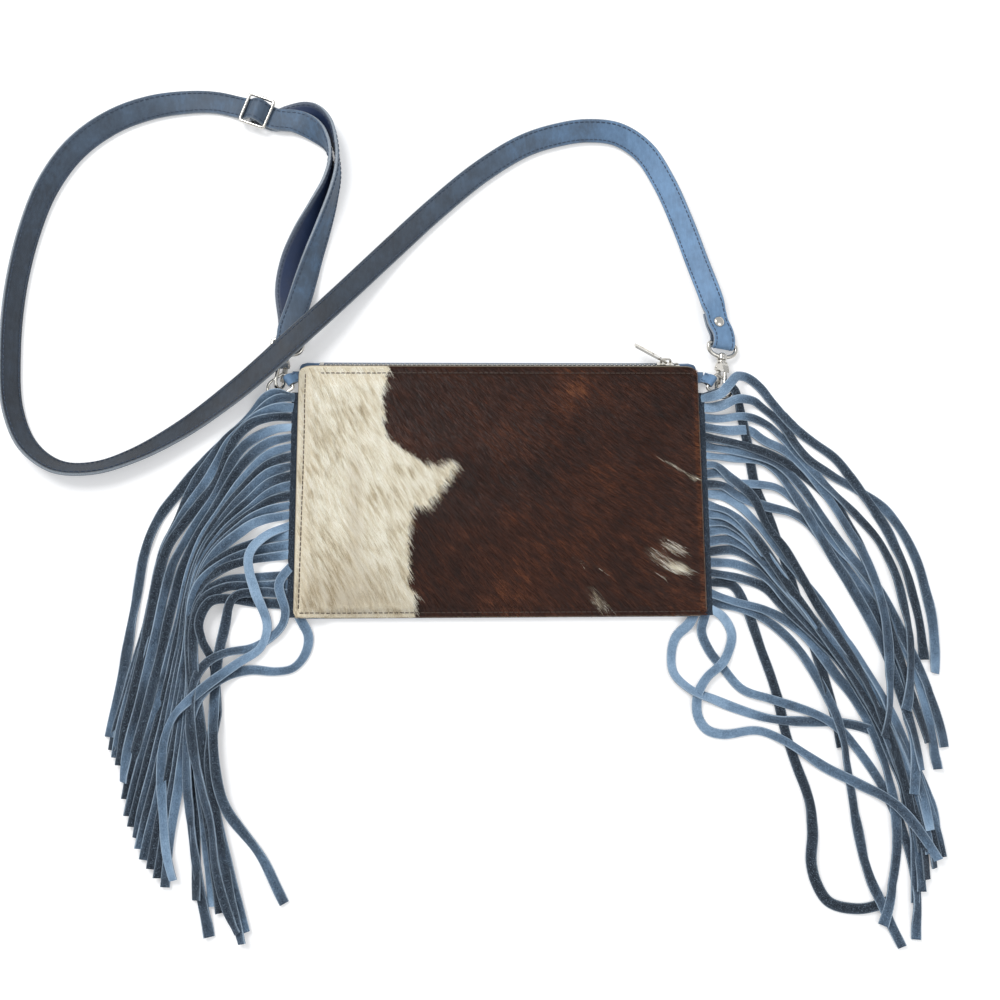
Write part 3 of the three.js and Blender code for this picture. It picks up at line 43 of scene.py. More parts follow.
# Sizes shared with the CAD part, in millimetres
BAG_WIDTH = 254
FRONT_TOP_Y = 78.2
BACK_TOP_Y = 83.4
BOTTOM_Y = -79.2
CORNER_RADIUS = 5
BACK_THICKNESS = 1.6
FRONT_THICKNESS = 1.8
SIDE_SEAM_Z = 4.5
BOTTOM_SEAM_Z = 1.9
PILLOW_HEIGHT = 7.9
SEAM_GAP = 0.3
ZIP_TILT = math.radians(35)
ZIP_Y = 80.1
TAPE_THICKNESS = 0.6
TAPE_HALF_LENGTH = 114.2
TAPE_BEND = 5.4
TAPE_INNER_EDGE = 0.7
TAPE_PARTING = 1.4
TEETH_START_X = -109.5
TEETH_END_X = 112
TEETH_PITCH = 3
SLIDER_X = 106.2
TAB_SLOPE = math.radians(27)
BACK_TAPE_Z = BACK_THICKNESS + SEAM_GAP + TAPE_THICKNESS / 2
ZIP_Z = BACK_TAPE_Z + TAPE_BEND * math.cos(ZIP_TILT)
FRONT_TAPE_Z = ZIP_Z + TAPE_BEND * math.cos(ZIP_TILT)
TOP_EDGE_Z = FRONT_TAPE_Z + TAPE_THICKNESS / 2 + SEAM_GAP + 0.1
STRAP_WIDTH = 15
STRAP_THICKNESS = 2.2
SKIVED = 1.4
HEADER_Z = BACK_THICKNESS + 0.9 + SEAM_GAP
HEADER_THICKNESS = 1.4
STRAND_THICKNESS = 1.1
STRAND_HALF = 3.1
PRESSED_FROM_X = 150
PRESSED = 0.38
STITCH_PITCH = 3.3
STITCH_LENGTH = 2.3


# Small maths

def smooth(t):
    c = min(max(t, 0.0), 1.0)
    return c * c * (3 - 2 * c)


def lerp(a, b, t):
    return a + (b - a) * t


def unit(v):
    v = np.asarray(v, float)
    return v / max(np.linalg.norm(v), 1e-9)


def srgb(r, g, b):
    def one(c):
        c /= 255
        return c / 12.92 if c <= 0.04045 else ((c + 0.055) / 1.055) ** 2.4
    return (one(r), one(g), one(b), 1.0)


def centripetal(points, i, t):
    """A point on the centripetal curve through points, a share t of the way from point i to the next."""
    p1, p2 = points[i], points[i + 1]
    p0 = points[i - 1] if i > 0 else 2 * p1 - p2
    p3 = points[i + 2] if i + 2 < len(points) else 2 * p2 - p1
    d0, d1, d2 = (math.sqrt(max(np.linalg.norm(b - a), 1e-9)) for a, b in ((p0, p1), (p1, p2), (p2, p3)))
    t1 = (p1 - p0) / d0 - (p2 - p0) / (d0 + d1) + (p2 - p1) / d1
    t2 = (p2 - p1) / d1 - (p3 - p1) / (d1 + d2) + (p3 - p2) / d2
    t1, t2 = t1 * d1, t2 * d1
    a = 2 * p1 - 2 * p2 + t1 + t2
    b = -3 * p1 + 3 * p2 - 2 * t1 - t2
    return ((a * t + b) * t + t1) * t + p1


def run_along(points):
    """The length of the line from its first point to each of the others."""
    return np.concatenate([[0], np.cumsum(np.linalg.norm(np.diff(points, axis=0), axis=1))])


def heading_axes(degrees):
    """The flat frame whose X runs at this many degrees from +X."""
    c, s = math.cos(math.radians(degrees)), math.sin(math.radians(degrees))
    return np.array([c, s, 0]), np.array([-s, c, 0]), np.array([0.0, 0, 1])


def lattice_noise(x, y, seed=0):
    """Smooth random heights from -1 to 1 over arrays of points."""
    xi, yi = np.floor(x).astype(int), np.floor(y).astype(int)
    fx, fy = x - xi, y - yi
    fx, fy = fx * fx * (3 - 2 * fx), fy * fy * (3 - 2 * fy)

    def corner(i, j):
        n = (i * 374761393 + j * 668265263 + seed * 974711) & 0x7FFFFFFF
        n = ((n ^ (n >> 13)) * 1274126177) & 0x7FFFFFFF
        return (n ^ (n >> 16)) / 0x3FFFFFFF - 1.0

    top = corner(xi, yi) * (1 - fx) + corner(xi + 1, yi) * fx
    low = corner(xi, yi + 1) * (1 - fx) + corner(xi + 1, yi + 1) * fx
    return top * (1 - fy) + low * fy


# Mesh making

def make(name, verts, faces, attributes=None, smooth_shade=True):
    mesh = bpy.data.meshes.new(name)
    mesh.from_pydata([tuple(v * MM for v in p) for p in verts], [], faces)
    for key, (kind, values) in (attributes or {}).items():
        layer = mesh.attributes.new(key, kind, "POINT")
        layer.data.foreach_set("value" if kind == "FLOAT" else "vector", np.ravel(values).astype(np.float32))
    mesh.validate()
    if smooth_shade:
        mesh.polygons.foreach_set("use_smooth", [True] * len(mesh.polygons))
        mesh.set_sharp_from_angle(angle=math.radians(50))
    obj = bpy.data.objects.new(name, mesh)
    bpy.context.scene.collection.objects.link(obj)
    return obj


def face_outward(obj):
    mesh = bmesh.new()
    mesh.from_mesh(obj.data)
    bmesh.ops.recalc_face_normals(mesh, faces=mesh.faces)
    mesh.to_mesh(obj.data)
    mesh.free()


class Shells:
    """Gathers several closed shells with their values into one mesh."""

    def __init__(self):
        self.verts, self.faces, self.values = [], [], {}

    def add(self, verts, faces, **values):
        start = len(self.verts)
        self.verts.extend(verts)
        self.faces.extend([tuple(start + i for i in f) for f in faces])
        for key, value in values.items():
            each = value if hasattr(value, "__len__") else [value] * len(verts)
            self.values.setdefault(key, []).extend(each)

    def build(self, name, smooth_shade=True):
        attributes = {key: ("FLOAT", value) for key, value in self.values.items()}
        return make(name, self.verts, self.faces, attributes, smooth_shade)


def loft(rings, closed=False):
    count = len(rings[0])
    verts = [tuple(p) for ring in rings for p in ring]
    faces = []
    spans = len(rings) if closed else len(rings) - 1
    for i in range(spans):
        a, b = i * count, (i + 1) % len(rings) * count
        for k in range(count):
            n = (k + 1) % count
            faces.append((a + k, a + n, b + n, b + k))
    if not closed:
        last = (len(rings) - 1) * count
        faces.append(tuple(range(count))[::-1])
        faces.append(tuple(last + k for k in range(count)))
    return verts, faces


def tube(points, radius, closed=False, sides=16):
    points = [np.asarray(p, float) for p in points]
    count = len(points)
    rings = []
    normal = None
    for i, p in enumerate(points):
        before = points[(i - 1) % count] if closed or i > 0 else p
        after = points[(i + 1) % count] if closed or i < count - 1 else p
        tangent = unit(after - before)
        if normal is None:
            normal = unit(np.cross(tangent, (0.3, 0.2, 1)))
        normal = unit(normal - tangent * normal.dot(tangent))
        other = np.cross(tangent, normal)
        angles = [2 * math.pi * k / sides for k in range(sides)]
        rings.append([p + radius * (normal * math.cos(a) + other * math.sin(a)) for a in angles])
    return loft(rings, closed)


def lathe(profile, sides=32):
    """A turned piece along X. The profile's end points lie off the axis."""
    rings = []
    for x, r in profile:
        rings.append([np.array((x, r * math.cos(2 * math.pi * k / sides),
                                r * math.sin(2 * math.pi * k / sides)))
                      for k in range(sides)])
    return loft(rings)


def placed(shell, origin, x_axis, y_axis, z_axis):
    verts, faces = shell
    basis = np.column_stack([x_axis, y_axis, z_axis])
    return [tuple(basis @ np.asarray(v, float) + np.asarray(origin, float)) for v in verts], faces


def arc(cx, cy, r, a0, a1, steps):
    return [(cx + r * math.cos(lerp(a0, a1, k / steps)), cy + r * math.sin(lerp(a0, a1, k / steps)))
            for k in range(steps + 1)]


def quad_curve(p0, p1, p2, steps=8):
    out = []
    for k in range(1, steps + 1):
        t = k / steps
        out.append(tuple((1 - t) ** 2 * a + 2 * t * (1 - t) * b + t * t * c for a, b, c in zip(p0, p1, p2)))
    return out


def drawn(*steps):
    """An outline. A step is a point, or a curve's control point and end, with its count of pieces."""
    out = []
    for step in steps:
        if len(step) == 2:
            out.append(step)
        else:
            out += quad_curve(out[-1], step[:2], step[2:4], *step[4:])
    return out


# Node materials

class Graph:
    def __init__(self, name):
        self.material = bpy.data.materials.new(name)
        self.material.use_nodes = True
        self.tree = self.material.node_tree
        self.tree.nodes.clear()
        self.out = self.node("ShaderNodeOutputMaterial")

    def node(self, kind, inputs=None, **settings):
        n = self.tree.nodes.new(kind)
        for key, value in settings.items():
            setattr(n, key, value)
        for key, value in (inputs or {}).items():
            self.feed(n.inputs[key], value)
        return n

    def feed(self, socket, value):
        if isinstance(value, bpy.types.NodeSocket):
            self.tree.links.new(value, socket)
        else:
            socket.default_value = value

    def noise(self, vector, scale, detail=3, roughness=0.5, distortion=0.0):
        inputs = {"Vector": vector, "Scale": scale, "Detail": detail, "Roughness": roughness,
                  "Distortion": distortion}
        return self.node("ShaderNodeTexNoise", inputs).outputs["Fac"]

    def maths(self, operation, a, b=0.0, clamp=False):
        n = self.node("ShaderNodeMath", {0: a, 1: b}, operation=operation, use_clamp=clamp)
        return n.outputs[0]

    def add(self, a, b, clamp=False):
        return self.maths("ADD", a, b, clamp)

    def times(self, a, b):
        return self.maths("MULTIPLY", a, b)

    def span(self, value, low, high, to_low=0.0, to_high=1.0):
        inputs = {"Value": value, "From Min": low, "From Max": high, "To Min": to_low, "To Max": to_high}
        return self.node("ShaderNodeMapRange", inputs, interpolation_type="SMOOTHSTEP").outputs["Result"]

    def ramp(self, value, *stops):
        n = self.node("ShaderNodeValToRGB", {"Fac": value})
        ramp = n.color_ramp
        while len(ramp.elements) < len(stops):
            ramp.elements.new(0.5)
        for element, (place, colour) in zip(ramp.elements, stops):
            element.position = place
            element.color = colour
        return n.outputs["Color"]

    def mix(self, share, a, b, blend="MIX"):
        n = self.node("ShaderNodeMix", data_type="RGBA", blend_type=blend)
        for i, value in ((0, share), (6, a), (7, b)):
            self.feed(n.inputs[i], value)
        return n.outputs[2]

    def attribute(self, name):
        return self.node("ShaderNodeAttribute", attribute_name=name).outputs["Fac"]

    def place(self):
        return self.node("ShaderNodeTexCoord").outputs["Object"]

    def axis(self, vector, letter):
        return self.node("ShaderNodeSeparateXYZ", {0: vector}).outputs[letter]

    def away_from(self, vector, place):
        return self.node("ShaderNodeVectorMath", {0: vector, 1: place}, operation="DISTANCE").outputs["Value"]

    def wave(self, vector, scale, distortion, **settings):
        inputs = {"Vector": vector, "Scale": scale, "Distortion": distortion}
        return self.node("ShaderNodeTexWave", inputs, **settings).outputs["Fac"]

    def stretched(self, vector, angle, scale):
        n = self.node("ShaderNodeMapping", {"Vector": vector, "Rotation": (0, 0, angle), "Scale": scale})
        return n.outputs["Vector"]

    def bump(self, height, strength, distance):
        inputs = {"Height": height, "Strength": strength, "Distance": distance}
        return self.node("ShaderNodeBump", inputs).outputs[0]

    def finish(self, **inputs):
        named = {key.replace("_", " "): value for key, value in inputs.items()}
        shader = self.node("ShaderNodeBsdfPrincipled", named)
        self.tree.links.new(shader.outputs[0], self.out.inputs[0])
        return self.material


def dress(obj, material, body="bag", replaces=()):
    obj.data.materials.clear()
    obj.data.materials.append(material)
    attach(obj, body)
    if replaces:
        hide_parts(*replaces)
    return obj


# Camera, floor and light

def camera():
    data = bpy.data.cameras.new("camera")
    data.sensor_fit = "HORIZONTAL"
    data.angle = math.radians(47.975)
    data.clip_start = 0.01
    obj = bpy.data.objects.new("camera", data)
    obj.location = (-0.02592, -0.12482, 0.69637)
    obj.rotation_euler = (math.radians(9.744), math.radians(-2.045), math.radians(-0.483))
    bpy.context.scene.collection.objects.link(obj)
    bpy.context.scene.camera = obj


def studio():
    world = bpy.data.worlds.new("studio")
    bpy.context.scene.world = world
    world.use_nodes = True
    tree = world.node_tree
    tree.nodes.clear()
    out = tree.nodes.new("ShaderNodeOutputWorld")
    sky = tree.nodes.new("ShaderNodeBackground")
    sky.inputs[0].default_value = (0.95, 0.97, 1.0, 1)
    sky.inputs[1].default_value = 0.62
    plain = tree.nodes.new("ShaderNodeBackground")
    plain.inputs[0].default_value = (1, 1, 1, 1)
    path = tree.nodes.new("ShaderNodeLightPath")
    mix = tree.nodes.new("ShaderNodeMixShader")
    tree.links.new(path.outputs["Is Camera Ray"], mix.inputs[0])
    tree.links.new(sky.outputs[0], mix.inputs[1])
    tree.links.new(plain.outputs[0], mix.inputs[2])
    tree.links.new(mix.outputs[0], out.inputs[0])
    for name, place, size, power in (("key", (-0.7, 0.75, 1.3), 0.8, 15), ("fill", (0.9, -0.5, 1.3), 1.2, 5)):
        data = bpy.data.lights.new(name, "AREA")
        data.shape = "DISK"
        data.size = size
        data.energy = power
        lamp = bpy.data.objects.new(name, data)
        lamp.location = place
        lamp.rotation_euler = (Vector((0, 0, 0)) - Vector(place)).to_track_quat("-Z", "Y").to_euler()
        bpy.context.scene.collection.objects.link(lamp)
    bpy.ops.mesh.primitive_plane_add(size=6, location=(0, 0, -0.0004))
    floor = bpy.context.object
    floor.name = "floor"
    g = Graph("floor")
    path = g.node("ShaderNodeLightPath")
    seen = g.maths("MAXIMUM", path.outputs["Is Camera Ray"], path.outputs["Is Glossy Ray"])
    glow = g.node("ShaderNodeEmission", {"Color": (1, 1, 1, 1), "Strength": g.times(seen, 0.30)})
    base = g.node("ShaderNodeBsdfDiffuse", {"Color": (0.80, 0.80, 0.80, 1)})
    both = g.node("ShaderNodeAddShader")
    g.tree.links.new(glow.outputs[0], both.inputs[0])
    g.tree.links.new(base.outputs[0], both.inputs[1])
    g.tree.links.new(both.outputs[0], g.out.inputs[0])
    floor.data.materials.append(g.material)
    bpy.context.scene.view_settings.view_transform = "Standard"


# Places shared with the CAD part, all in millimetres

CLASPS = {
    "right": {"bar": [144, 95, 5.5], "axis": [-0.09, -0.996, 0], "eyeRoll": -14, "hookRoll": 66,
        "strap": [-0.2, 0.98]},
    "left": {"bar": [-134, 96, 5.5], "axis": [-0.178, -0.984, 0], "eyeRoll": 0, "hookRoll": 118,
        "strap": [0.03, 1]},
}
RINGS = {
    "right": {"bar": [135.5, 70.5, 6.45], "heading": -35},
    "left": {"bar": [-132.8, 70.5, 6.45], "heading": -145},
}
STRAP_SLIDE = {"centre": [-158, 253.5], "heading": -20}
STRAP_MAIN = [
    [137, 128, 6.6, -24], [130, 150, 5.6, -27], [121, 178, 5.0, -27], [110, 206, 4.9, -27],
    [97, 228, 4.9, -27], [80, 240, 4.9, -26], [60, 242.5, 4.7, -24], [40, 239.5, 4.2, -18],
    [18, 232, 3.6, -13], [-10, 214, 3.4, -10], [-41, 187, 3.4, -8], [-68, 160, 4.4, -6],
    [-92, 134, 8.5, -3], [-112, 112, 13.2, 0], [-130, 94, 14.6, 2], [-148, 77, 13.2, 6],
    [-168, 61, 9.0, 14], [-198, 39, 6.2, 28], [-228, 22, 6.2, 42], [-252, 14, 6.9, 50], [-274, 15, 7.2, 54],
    [-292, 28, 7.4, 56], [-303, 52, 7.4, 57], [-307, 90, 7.4, 57], [-306, 130, 7.4, 56],
    [-300, 168, 7.2, 54], [-290, 200, 6.9, 50], [-274, 226, 6.4, 44], [-252, 245, 5.4, 34],
    [-228, 256, 4.2, 22], [-204, 261, 2.6, 9], [-186, 261.5, 1.6, 2],
]
STRAP_RUNNING = [
    [-133, 247.5, 4.2, 8], [-121, 241, 6.2, 40], [-112, 231, 8.0, 76], [-108.5, 217, 8.2, 92],
    [-110.5, 202, 7.8, 108], [-117, 186, 7.0, 128], [-126, 168, 5.8, 146], [-133, 150, 4.4, 162],
    [-136, 131, 3.4, 174],
]
STRAP_BACK = [
    [-128.5, 119, 6.8, 12], [-124, 136, 6.0, 30], [-119, 153, 7.2, 48], [-113, 172, 7.9, 62],
    [-107, 194, 8.2, 78], [-104.2, 212, 8.3, 88], [-106, 229, 8.2, 98], [-112.5, 244.5, 7.4, 116],
    [-124, 252.5, 4.4, 150], [-137, 252, 2.4, 174],
]
FOLD_BIGHT = [
    [8, -1.9, 1.8], [3, -2.5, SKIVED], [-0.6, -2.5, SKIVED], [-1.9, -1.75, SKIVED], [-2.55, 0, SKIVED],
    [-1.9, 1.75, SKIVED], [-0.6, 2.5, SKIVED], [3, 2.5, SKIVED], [8, 1.9, 1.8],
]
OVER_SLIDE = [
    [-15, 1.5, 2.2], [-8.4, 3.4, 2.0], [-5.6, 5.4, 2.0], [-3.4, 7.9, 2.0], [0, 9.3, 2.0], [3.4, 7.9, 2.0],
    [5.6, 5.4, 2.0], [8.4, 4.0, 2.0], [14, 3.9, 2.2],
]
ROUND_BAR = [
    [13, 1.5, 2.2], [7, 1.5, 2.0], [3, 2.0, 1.6], [0, 2.95, SKIVED], [-1.6, 3.7, SKIVED],
    [-2.05, 5.0, SKIVED], [-1.5, 6.4, SKIVED], [0, 7.05, SKIVED], [1.4, 6.5, SKIVED],
]
RIGHT_GUIDES = {
    1: [[139, 60], [145, 66], [152, 73], [160, 74], [168, 68], [176, 57], [186, 44], [201, 31], [215, 20],
        [228, 1], [244, -24], [256, -55], [262, -90], [262, -125]],
    2: [[141, 54], [152, 58], [163, 58], [172, 52], [182, 42], [189, 29], [197, 19], [209, 11], [228, 0],
        [246, -14], [260, -38], [268, -70], [270, -105], [266, -130]],
    3: [[143, 47], [157, 48], [170, 44], [179, 36], [195, 18], [205, 5], [217, -7], [227, -17], [240, -34],
        [250, -60], [254, -95], [250, -130], [243, -150]],
    4: [[148, 39], [159, 39], [170, 32], [181, 26], [195, 13], [207, -3], [218, -22], [230, -46],
        [238, -75], [240, -108], [236, -140], [230, -162]],
    5: [[148, 31], [169, 24], [185, 16], [200, 5], [213, -9], [219, -20], [226, -34], [234, -60],
        [243, -92], [252, -125], [258, -150], [262, -170]],
    6: [[147, 26], [166, 21], [179, 15], [189, 5], [199, -10], [209, -26], [219, -41], [238, -66],
        [250, -92], [262, -120], [270, -150], [272, -168]],
    7: [[147, 21], [166, 19], [177, 11], [186, -2], [196, -20], [207, -40], [220, -62], [233, -88],
        [243, -115], [250, -145], [255, -182]],
    8: [[137, 16], [145, 9], [160, -5], [168, -23], [178, -37], [186, -51], [197, -72], [210, -96],
        [224, -122], [235, -150], [243, -180], [249, -214]],
    9: [[142, 11], [149, 5], [162, 4], [175, 2], [184, -4], [194, -13], [204, -23], [213, -36], [225, -50],
        [240, -74], [252, -102], [261, -132], [268, -192]],
    10: [[141, 3], [152, -4], [167, -10], [183, -14], [193, -20], [203, -31], [216, -47], [225, -60],
        [238, -84], [246, -112], [250, -142], [250, -172], [245, -207]],
    11: [[141, -3], [152, -10], [161, -20], [173, -35], [186, -53], [199, -70], [220, -104], [234, -130],
        [246, -160], [254, -190], [258, -217]],
    12: [[144, -14], [156, -26], [166, -40], [177, -58], [188, -75], [202, -96], [217, -120], [232, -148],
        [243, -178], [250, -205], [253, -232]],
    15: [[142, -25], [156, -34], [170, -52], [184, -70], [200, -90], [218, -111], [236, -140], [250, -170],
        [260, -200], [268, -240]],
    17: [[146, -38], [160, -45], [176, -62], [192, -82], [208, -101], [224, -126], [238, -155], [248, -185],
        [253, -215], [254, -252]],
    19: [[151, -56], [166, -62], [180, -78], [195, -93], [211, -110], [220, -126], [233, -153], [243, -183],
        [248, -213], [246, -262]],
    21: [[144, -70], [165, -76], [180, -84], [193, -97], [207, -116], [218, -131], [230, -158], [237, -188],
        [238, -218], [232, -246], [222, -274]],
    22: [[148, -74], [168, -84], [184, -100], [197, -122], [206, -145], [211, -175], [214, -205],
        [220, -235], [237, -276]],
}
RIGHT_STRAYS = [
    {
        "row": 0,
        "route": [[134, 60.4], [140, 61.5], [147, 65], [153, 56], [158, 32], [162, 4], [171, -20],
            [180, -50], [190, -85], [200, -120], [206, -150], [208, -178]],
    },
    {
        "row": 20,
        "route": [[145, -60], [153, -75], [161, -100], [169, -126], [174, -152], [180, -172], [186, -191],
            [187, -209], [185, -227], [188, -240], [195, -250], [212, -254], [228, -251], [242, -246]],
    },
    {
        "from": [120, -77.5],
        "route": [[116, -84], [108, -92], [105, -102], [106, -114], [116, -124], [130, -130], [145, -136],
            [165, -142], [188, -144], [210, -145], [232, -152], [250, -168], [260, -192], [264, -222]],
    },
    {
        "from": [126.5, -77.5],
        "route": [[124, -88], [129, -101], [136, -110], [148, -124], [165, -130], [189, -138], [202, -145],
            [216, -159], [232, -184], [243, -212], [248, -242], [246, -272]],
    },
    {
        "from": [130, -74.5],
        "route": [[138, -80], [143, -91], [137, -107], [126, -117], [120, -128], [120, -140], [125, -148],
            [135, -151], [156, -149], [170, -154], [198, -172], [216, -181], [238, -194], [268, -236]],
    },
]
LEFT_GUIDES = {
    0: [[-134, 60], [-141, 61], [-150, 56], [-163, 42], [-184, 21], [-200, 0], [-212, -17], [-219, -36],
        [-222, -58], [-225, -79], [-229, -110], [-234, -140], [-238, -168]],
    1: [[-141, 57], [-156, 46], [-171, 34], [-182, 19], [-193, 0], [-200, -18], [-208, -38], [-212, -58],
        [-217, -85], [-224, -115], [-231, -145], [-236, -172]],
    3: [[-145, 46], [-158, 41], [-167, 31], [-172, 19], [-178, 4], [-187, -8], [-197, -22], [-205, -35],
        [-210, -53], [-214, -80], [-219, -110], [-225, -140], [-229, -182]],
    6: [[-145, 24], [-160, 8], [-172, -10], [-183, -28], [-191, -50], [-197, -80], [-204, -115],
        [-212, -150], [-220, -185], [-224, -215]],
    10: [[-143, 0], [-157, -12], [-171, -26], [-182, -42], [-188, -65], [-191, -100], [-197, -140],
        [-204, -180], [-211, -215], [-214, -234]],
    13: [[-146, -18], [-163, -28], [-177, -42], [-185, -60], [-187, -90], [-188, -130], [-192, -170],
        [-197, -210], [-199, -242]],
    16: [[-150, -37], [-170, -45], [-184, -58], [-189, -80], [-187, -120], [-183, -160], [-177, -200],
        [-172, -235], [-170, -258]],
    20: [[-150, -59], [-168, -60], [-181, -68], [-186, -85], [-184, -115], [-179, -150], [-172, -185],
        [-163, -220], [-150, -264]],
    22: [[-151, -69], [-166, -67], [-177, -69], [-183, -81], [-181, -92], [-176, -103], [-172, -130],
        [-174, -165], [-168, -205], [-160, -240], [-152, -270]],
}
LEFT_STRAYS = [
    {
        "row": 21,
        "route": [[-150, -63], [-163, -66], [-168, -80], [-171, -97], [-173, -112], [-172, -156],
            [-167, -184], [-160, -198], [-144, -218], [-129, -246]],
    },
    {
        "from": [-124, -77.5],
        "route": [[-118, -90], [-120, -101], [-127, -109], [-137, -111], [-153, -110], [-166, -113],
            [-177, -121], [-186, -140], [-188, -170], [-184, -205], [-178, -238], [-172, -264]],
    },
    {
        "row": 18,
        "route": [[-136, -58], [-132, -76], [-136, -86], [-150, -96], [-168, -100], [-178, -106],
            [-184, -116], [-186, -134], [-184, -155], [-178, -180], [-172, -202], [-169, -225],
            [-162, -248], [-153, -265]],
    },
    {
        "row": 14,
        "route": [[-145, -28], [-154, -40], [-154, -50], [-150, -63], [-143, -84], [-147, -97],
            [-160, -106], [-172, -115], [-185, -126], [-197, -138], [-202, -152], [-203, -171],
            [-201, -194], [-198, -217], [-192, -238]],
    },
]
HUMPS = {
    1: [
        {"from": [143.6, 80], "to": [142.2, 65], "reach": 4.4, "height": 10.9},
        {"from": [132.2, 65.8], "to": [139.8, 60.5], "reach": 2.2, "height": 7.8},
        {"from": [139.3, 67.8], "to": [143.1, 65.2], "reach": 7.8, "height": 7.8},
        {"from": [133.3, 67.4], "to": [137.7, 73.6], "reach": 3.6, "height": 9.4},
    ],
    -1: [
        {"from": [-138.2, 81], "to": [-141.2, 66], "reach": 4.4, "height": 10.9},
        {"from": [-130, 65.8], "to": [-137.6, 60.5], "reach": 2.2, "height": 7.8},
        {"from": [-137.1, 67.8], "to": [-140.9, 65.2], "reach": 7.8, "height": 7.8},
        {"from": [-131.1, 67.4], "to": [-135.5, 73.6], "reach": 3.6, "height": 9.4},
    ],
}


# Surfaces of the bag

def smooth_array(t):
    c = np.clip(t, 0, 1)
    return c * c * (3 - 2 * c)


def front_inner_z(x, y):
    x, y = np.asarray(x, float), np.asarray(y, float)
    up = (y - BOTTOM_Y) / (FRONT_TOP_Y - BOTTOM_Y)
    over_header = smooth_array((np.abs(x) - 104) / 10)
    from_foot = smooth_array((y - BOTTOM_Y) / 8)
    lift = 0.8 * over_header * (1 - from_foot)
    seam = BOTTOM_SEAM_Z + (SIDE_SEAM_Z - BOTTOM_SEAM_Z) * np.maximum(from_foot, over_header) + lift
    reach = 46 - 36 * smooth_array((up - 0.58) / 0.3)
    side_rise = np.sin(np.clip((BAG_WIDTH / 2 - np.abs(x)) / reach, 0, 1) * math.pi / 2)
    bottom_rise = np.sin(np.clip(up / 0.42, 0, 1) * math.pi / 2)
    to_top = smooth_array((up - 0.5) / 0.44)
    middle = PILLOW_HEIGHT + (TOP_EDGE_Z - SIDE_SEAM_Z - PILLOW_HEIGHT) * to_top
    return seam + middle * side_rise * bottom_rise


def back_outside_z(x, y):
    """The back panel lies flat, and its sides turn up a little to the fringe's header."""
    return 0.9 * smooth_array((np.abs(x) - (BAG_WIDTH / 2 - 11)) / 10)


def back_inside_z(x, y):
    return back_outside_z(x, y) + BACK_THICKNESS


def hide_z(x, y):
    """The hide's outer face with the soft unevenness of a filled bag, nothing of it at the rim."""
    x, y = np.asarray(x, float), np.asarray(y, float)
    rim = np.minimum(np.minimum(BAG_WIDTH / 2 - np.abs(x), y - BOTTOM_Y), FRONT_TOP_Y - y)
    inside = smooth_array(rim / 18)
    waves = 0.55 * lattice_noise(x / 46 + 3.1, y / 38 + 7.7, 3) + 0.3 * lattice_noise(x / 17, y / 21, 5)
    seam_dip = -0.45 * np.exp(-((rim - 3.6) / 1.5) ** 2)
    edge_roll = 0.15 * np.exp(-((rim - 1.2) / 0.9) ** 2)
    return front_inner_z(x, y) + FRONT_THICKNESS + inside * waves + seam_dip + edge_roll


def outline_point(s, t, top_y):
    half = BAG_WIDTH / 2
    y = BOTTOM_Y + (top_y - BOTTOM_Y) * t
    to_edge = np.minimum(y - BOTTOM_Y, top_y - y)
    into = np.clip(CORNER_RADIUS - to_edge, 0, CORNER_RADIUS)
    inset = CORNER_RADIUS - np.sqrt(CORNER_RADIUS ** 2 - into ** 2)
    return (2 * s - 1) * (half - inset), y


def panel(name, top_y, columns, rows, outer, inner, values=None):
    """A closed slab between two faces over the panel's outline, its rim rounded over."""
    s, t = np.meshgrid(np.linspace(0, 1, columns + 1), np.linspace(0, 1, rows + 1))
    closer_at_edges = [q - 0.045 * np.sin(2 * math.pi * q) for q in (s, t)]
    x, y = outline_point(*closer_at_edges, top_y)
    rim = np.minimum(np.minimum(BAG_WIDTH / 2 - np.abs(x), y - BOTTOM_Y), top_y - y)
    up, down = outer(x, y), inner(x, y)
    rounding = 0.55 * (1 - np.sqrt(np.clip(1 - (1 - np.clip(rim / 0.9, 0, 1)) ** 2, 0, 1)))
    up, down = up - rounding, down + rounding * 0.6
    count = x.size
    top = np.stack([x, y, up], -1).reshape(-1, 3)
    low = np.stack([x, y, down], -1).reshape(-1, 3)
    index = np.arange(count).reshape(rows + 1, columns + 1)
    a, b, c, d = index[:-1, :-1], index[:-1, 1:], index[1:, 1:], index[1:, :-1]
    faces = np.stack([a, b, c, d], -1).reshape(-1, 4).tolist()
    faces += np.stack([d + count, c + count, b + count, a + count], -1).reshape(-1, 4).tolist()
    loop = list(index[0, :]) + list(index[1:, -1]) + list(index[-1, -2::-1]) + list(index[-2:0:-1, 0])
    for k, p in enumerate(loop):
        q = loop[(k + 1) % len(loop)]
        faces.append((int(q), int(p), int(p) + count, int(q) + count))
    verts = np.concatenate([top, low])
    shown = {key: f(x, y).ravel() for key, f in (values or {}).items()}
    shown["rim"] = rim.ravel()
    attributes = {key: ("FLOAT", np.concatenate([one, one])) for key, one in shown.items()}
    return make(name, verts.tolist(), faces, attributes)


# The hide's markings: the line between white and brown, and the small white patches

WHITE_EDGE = [
    (-70.3, 84), (-70.2, 72.9), (-74.4, 58.6), (-73.6, 40.7), (-69.8, 31.7), (-60.5, 24.7), (-49.9, 19),
    (-39.4, 15.8), (-32.6, 18.4), (-26.4, 17.1), (-32.6, 8.3), (-39.4, -1.8), (-46.1, -11.2),
    (-54.7, -11.6), (-55.9, -21.1), (-57.1, -33.5), (-57, -47.6), (-58.2, -57.4), (-52.7, -62.9),
    (-54.5, -69.6), (-52, -77.5), (-52, -86), (-140, -86), (-140, 84),
]
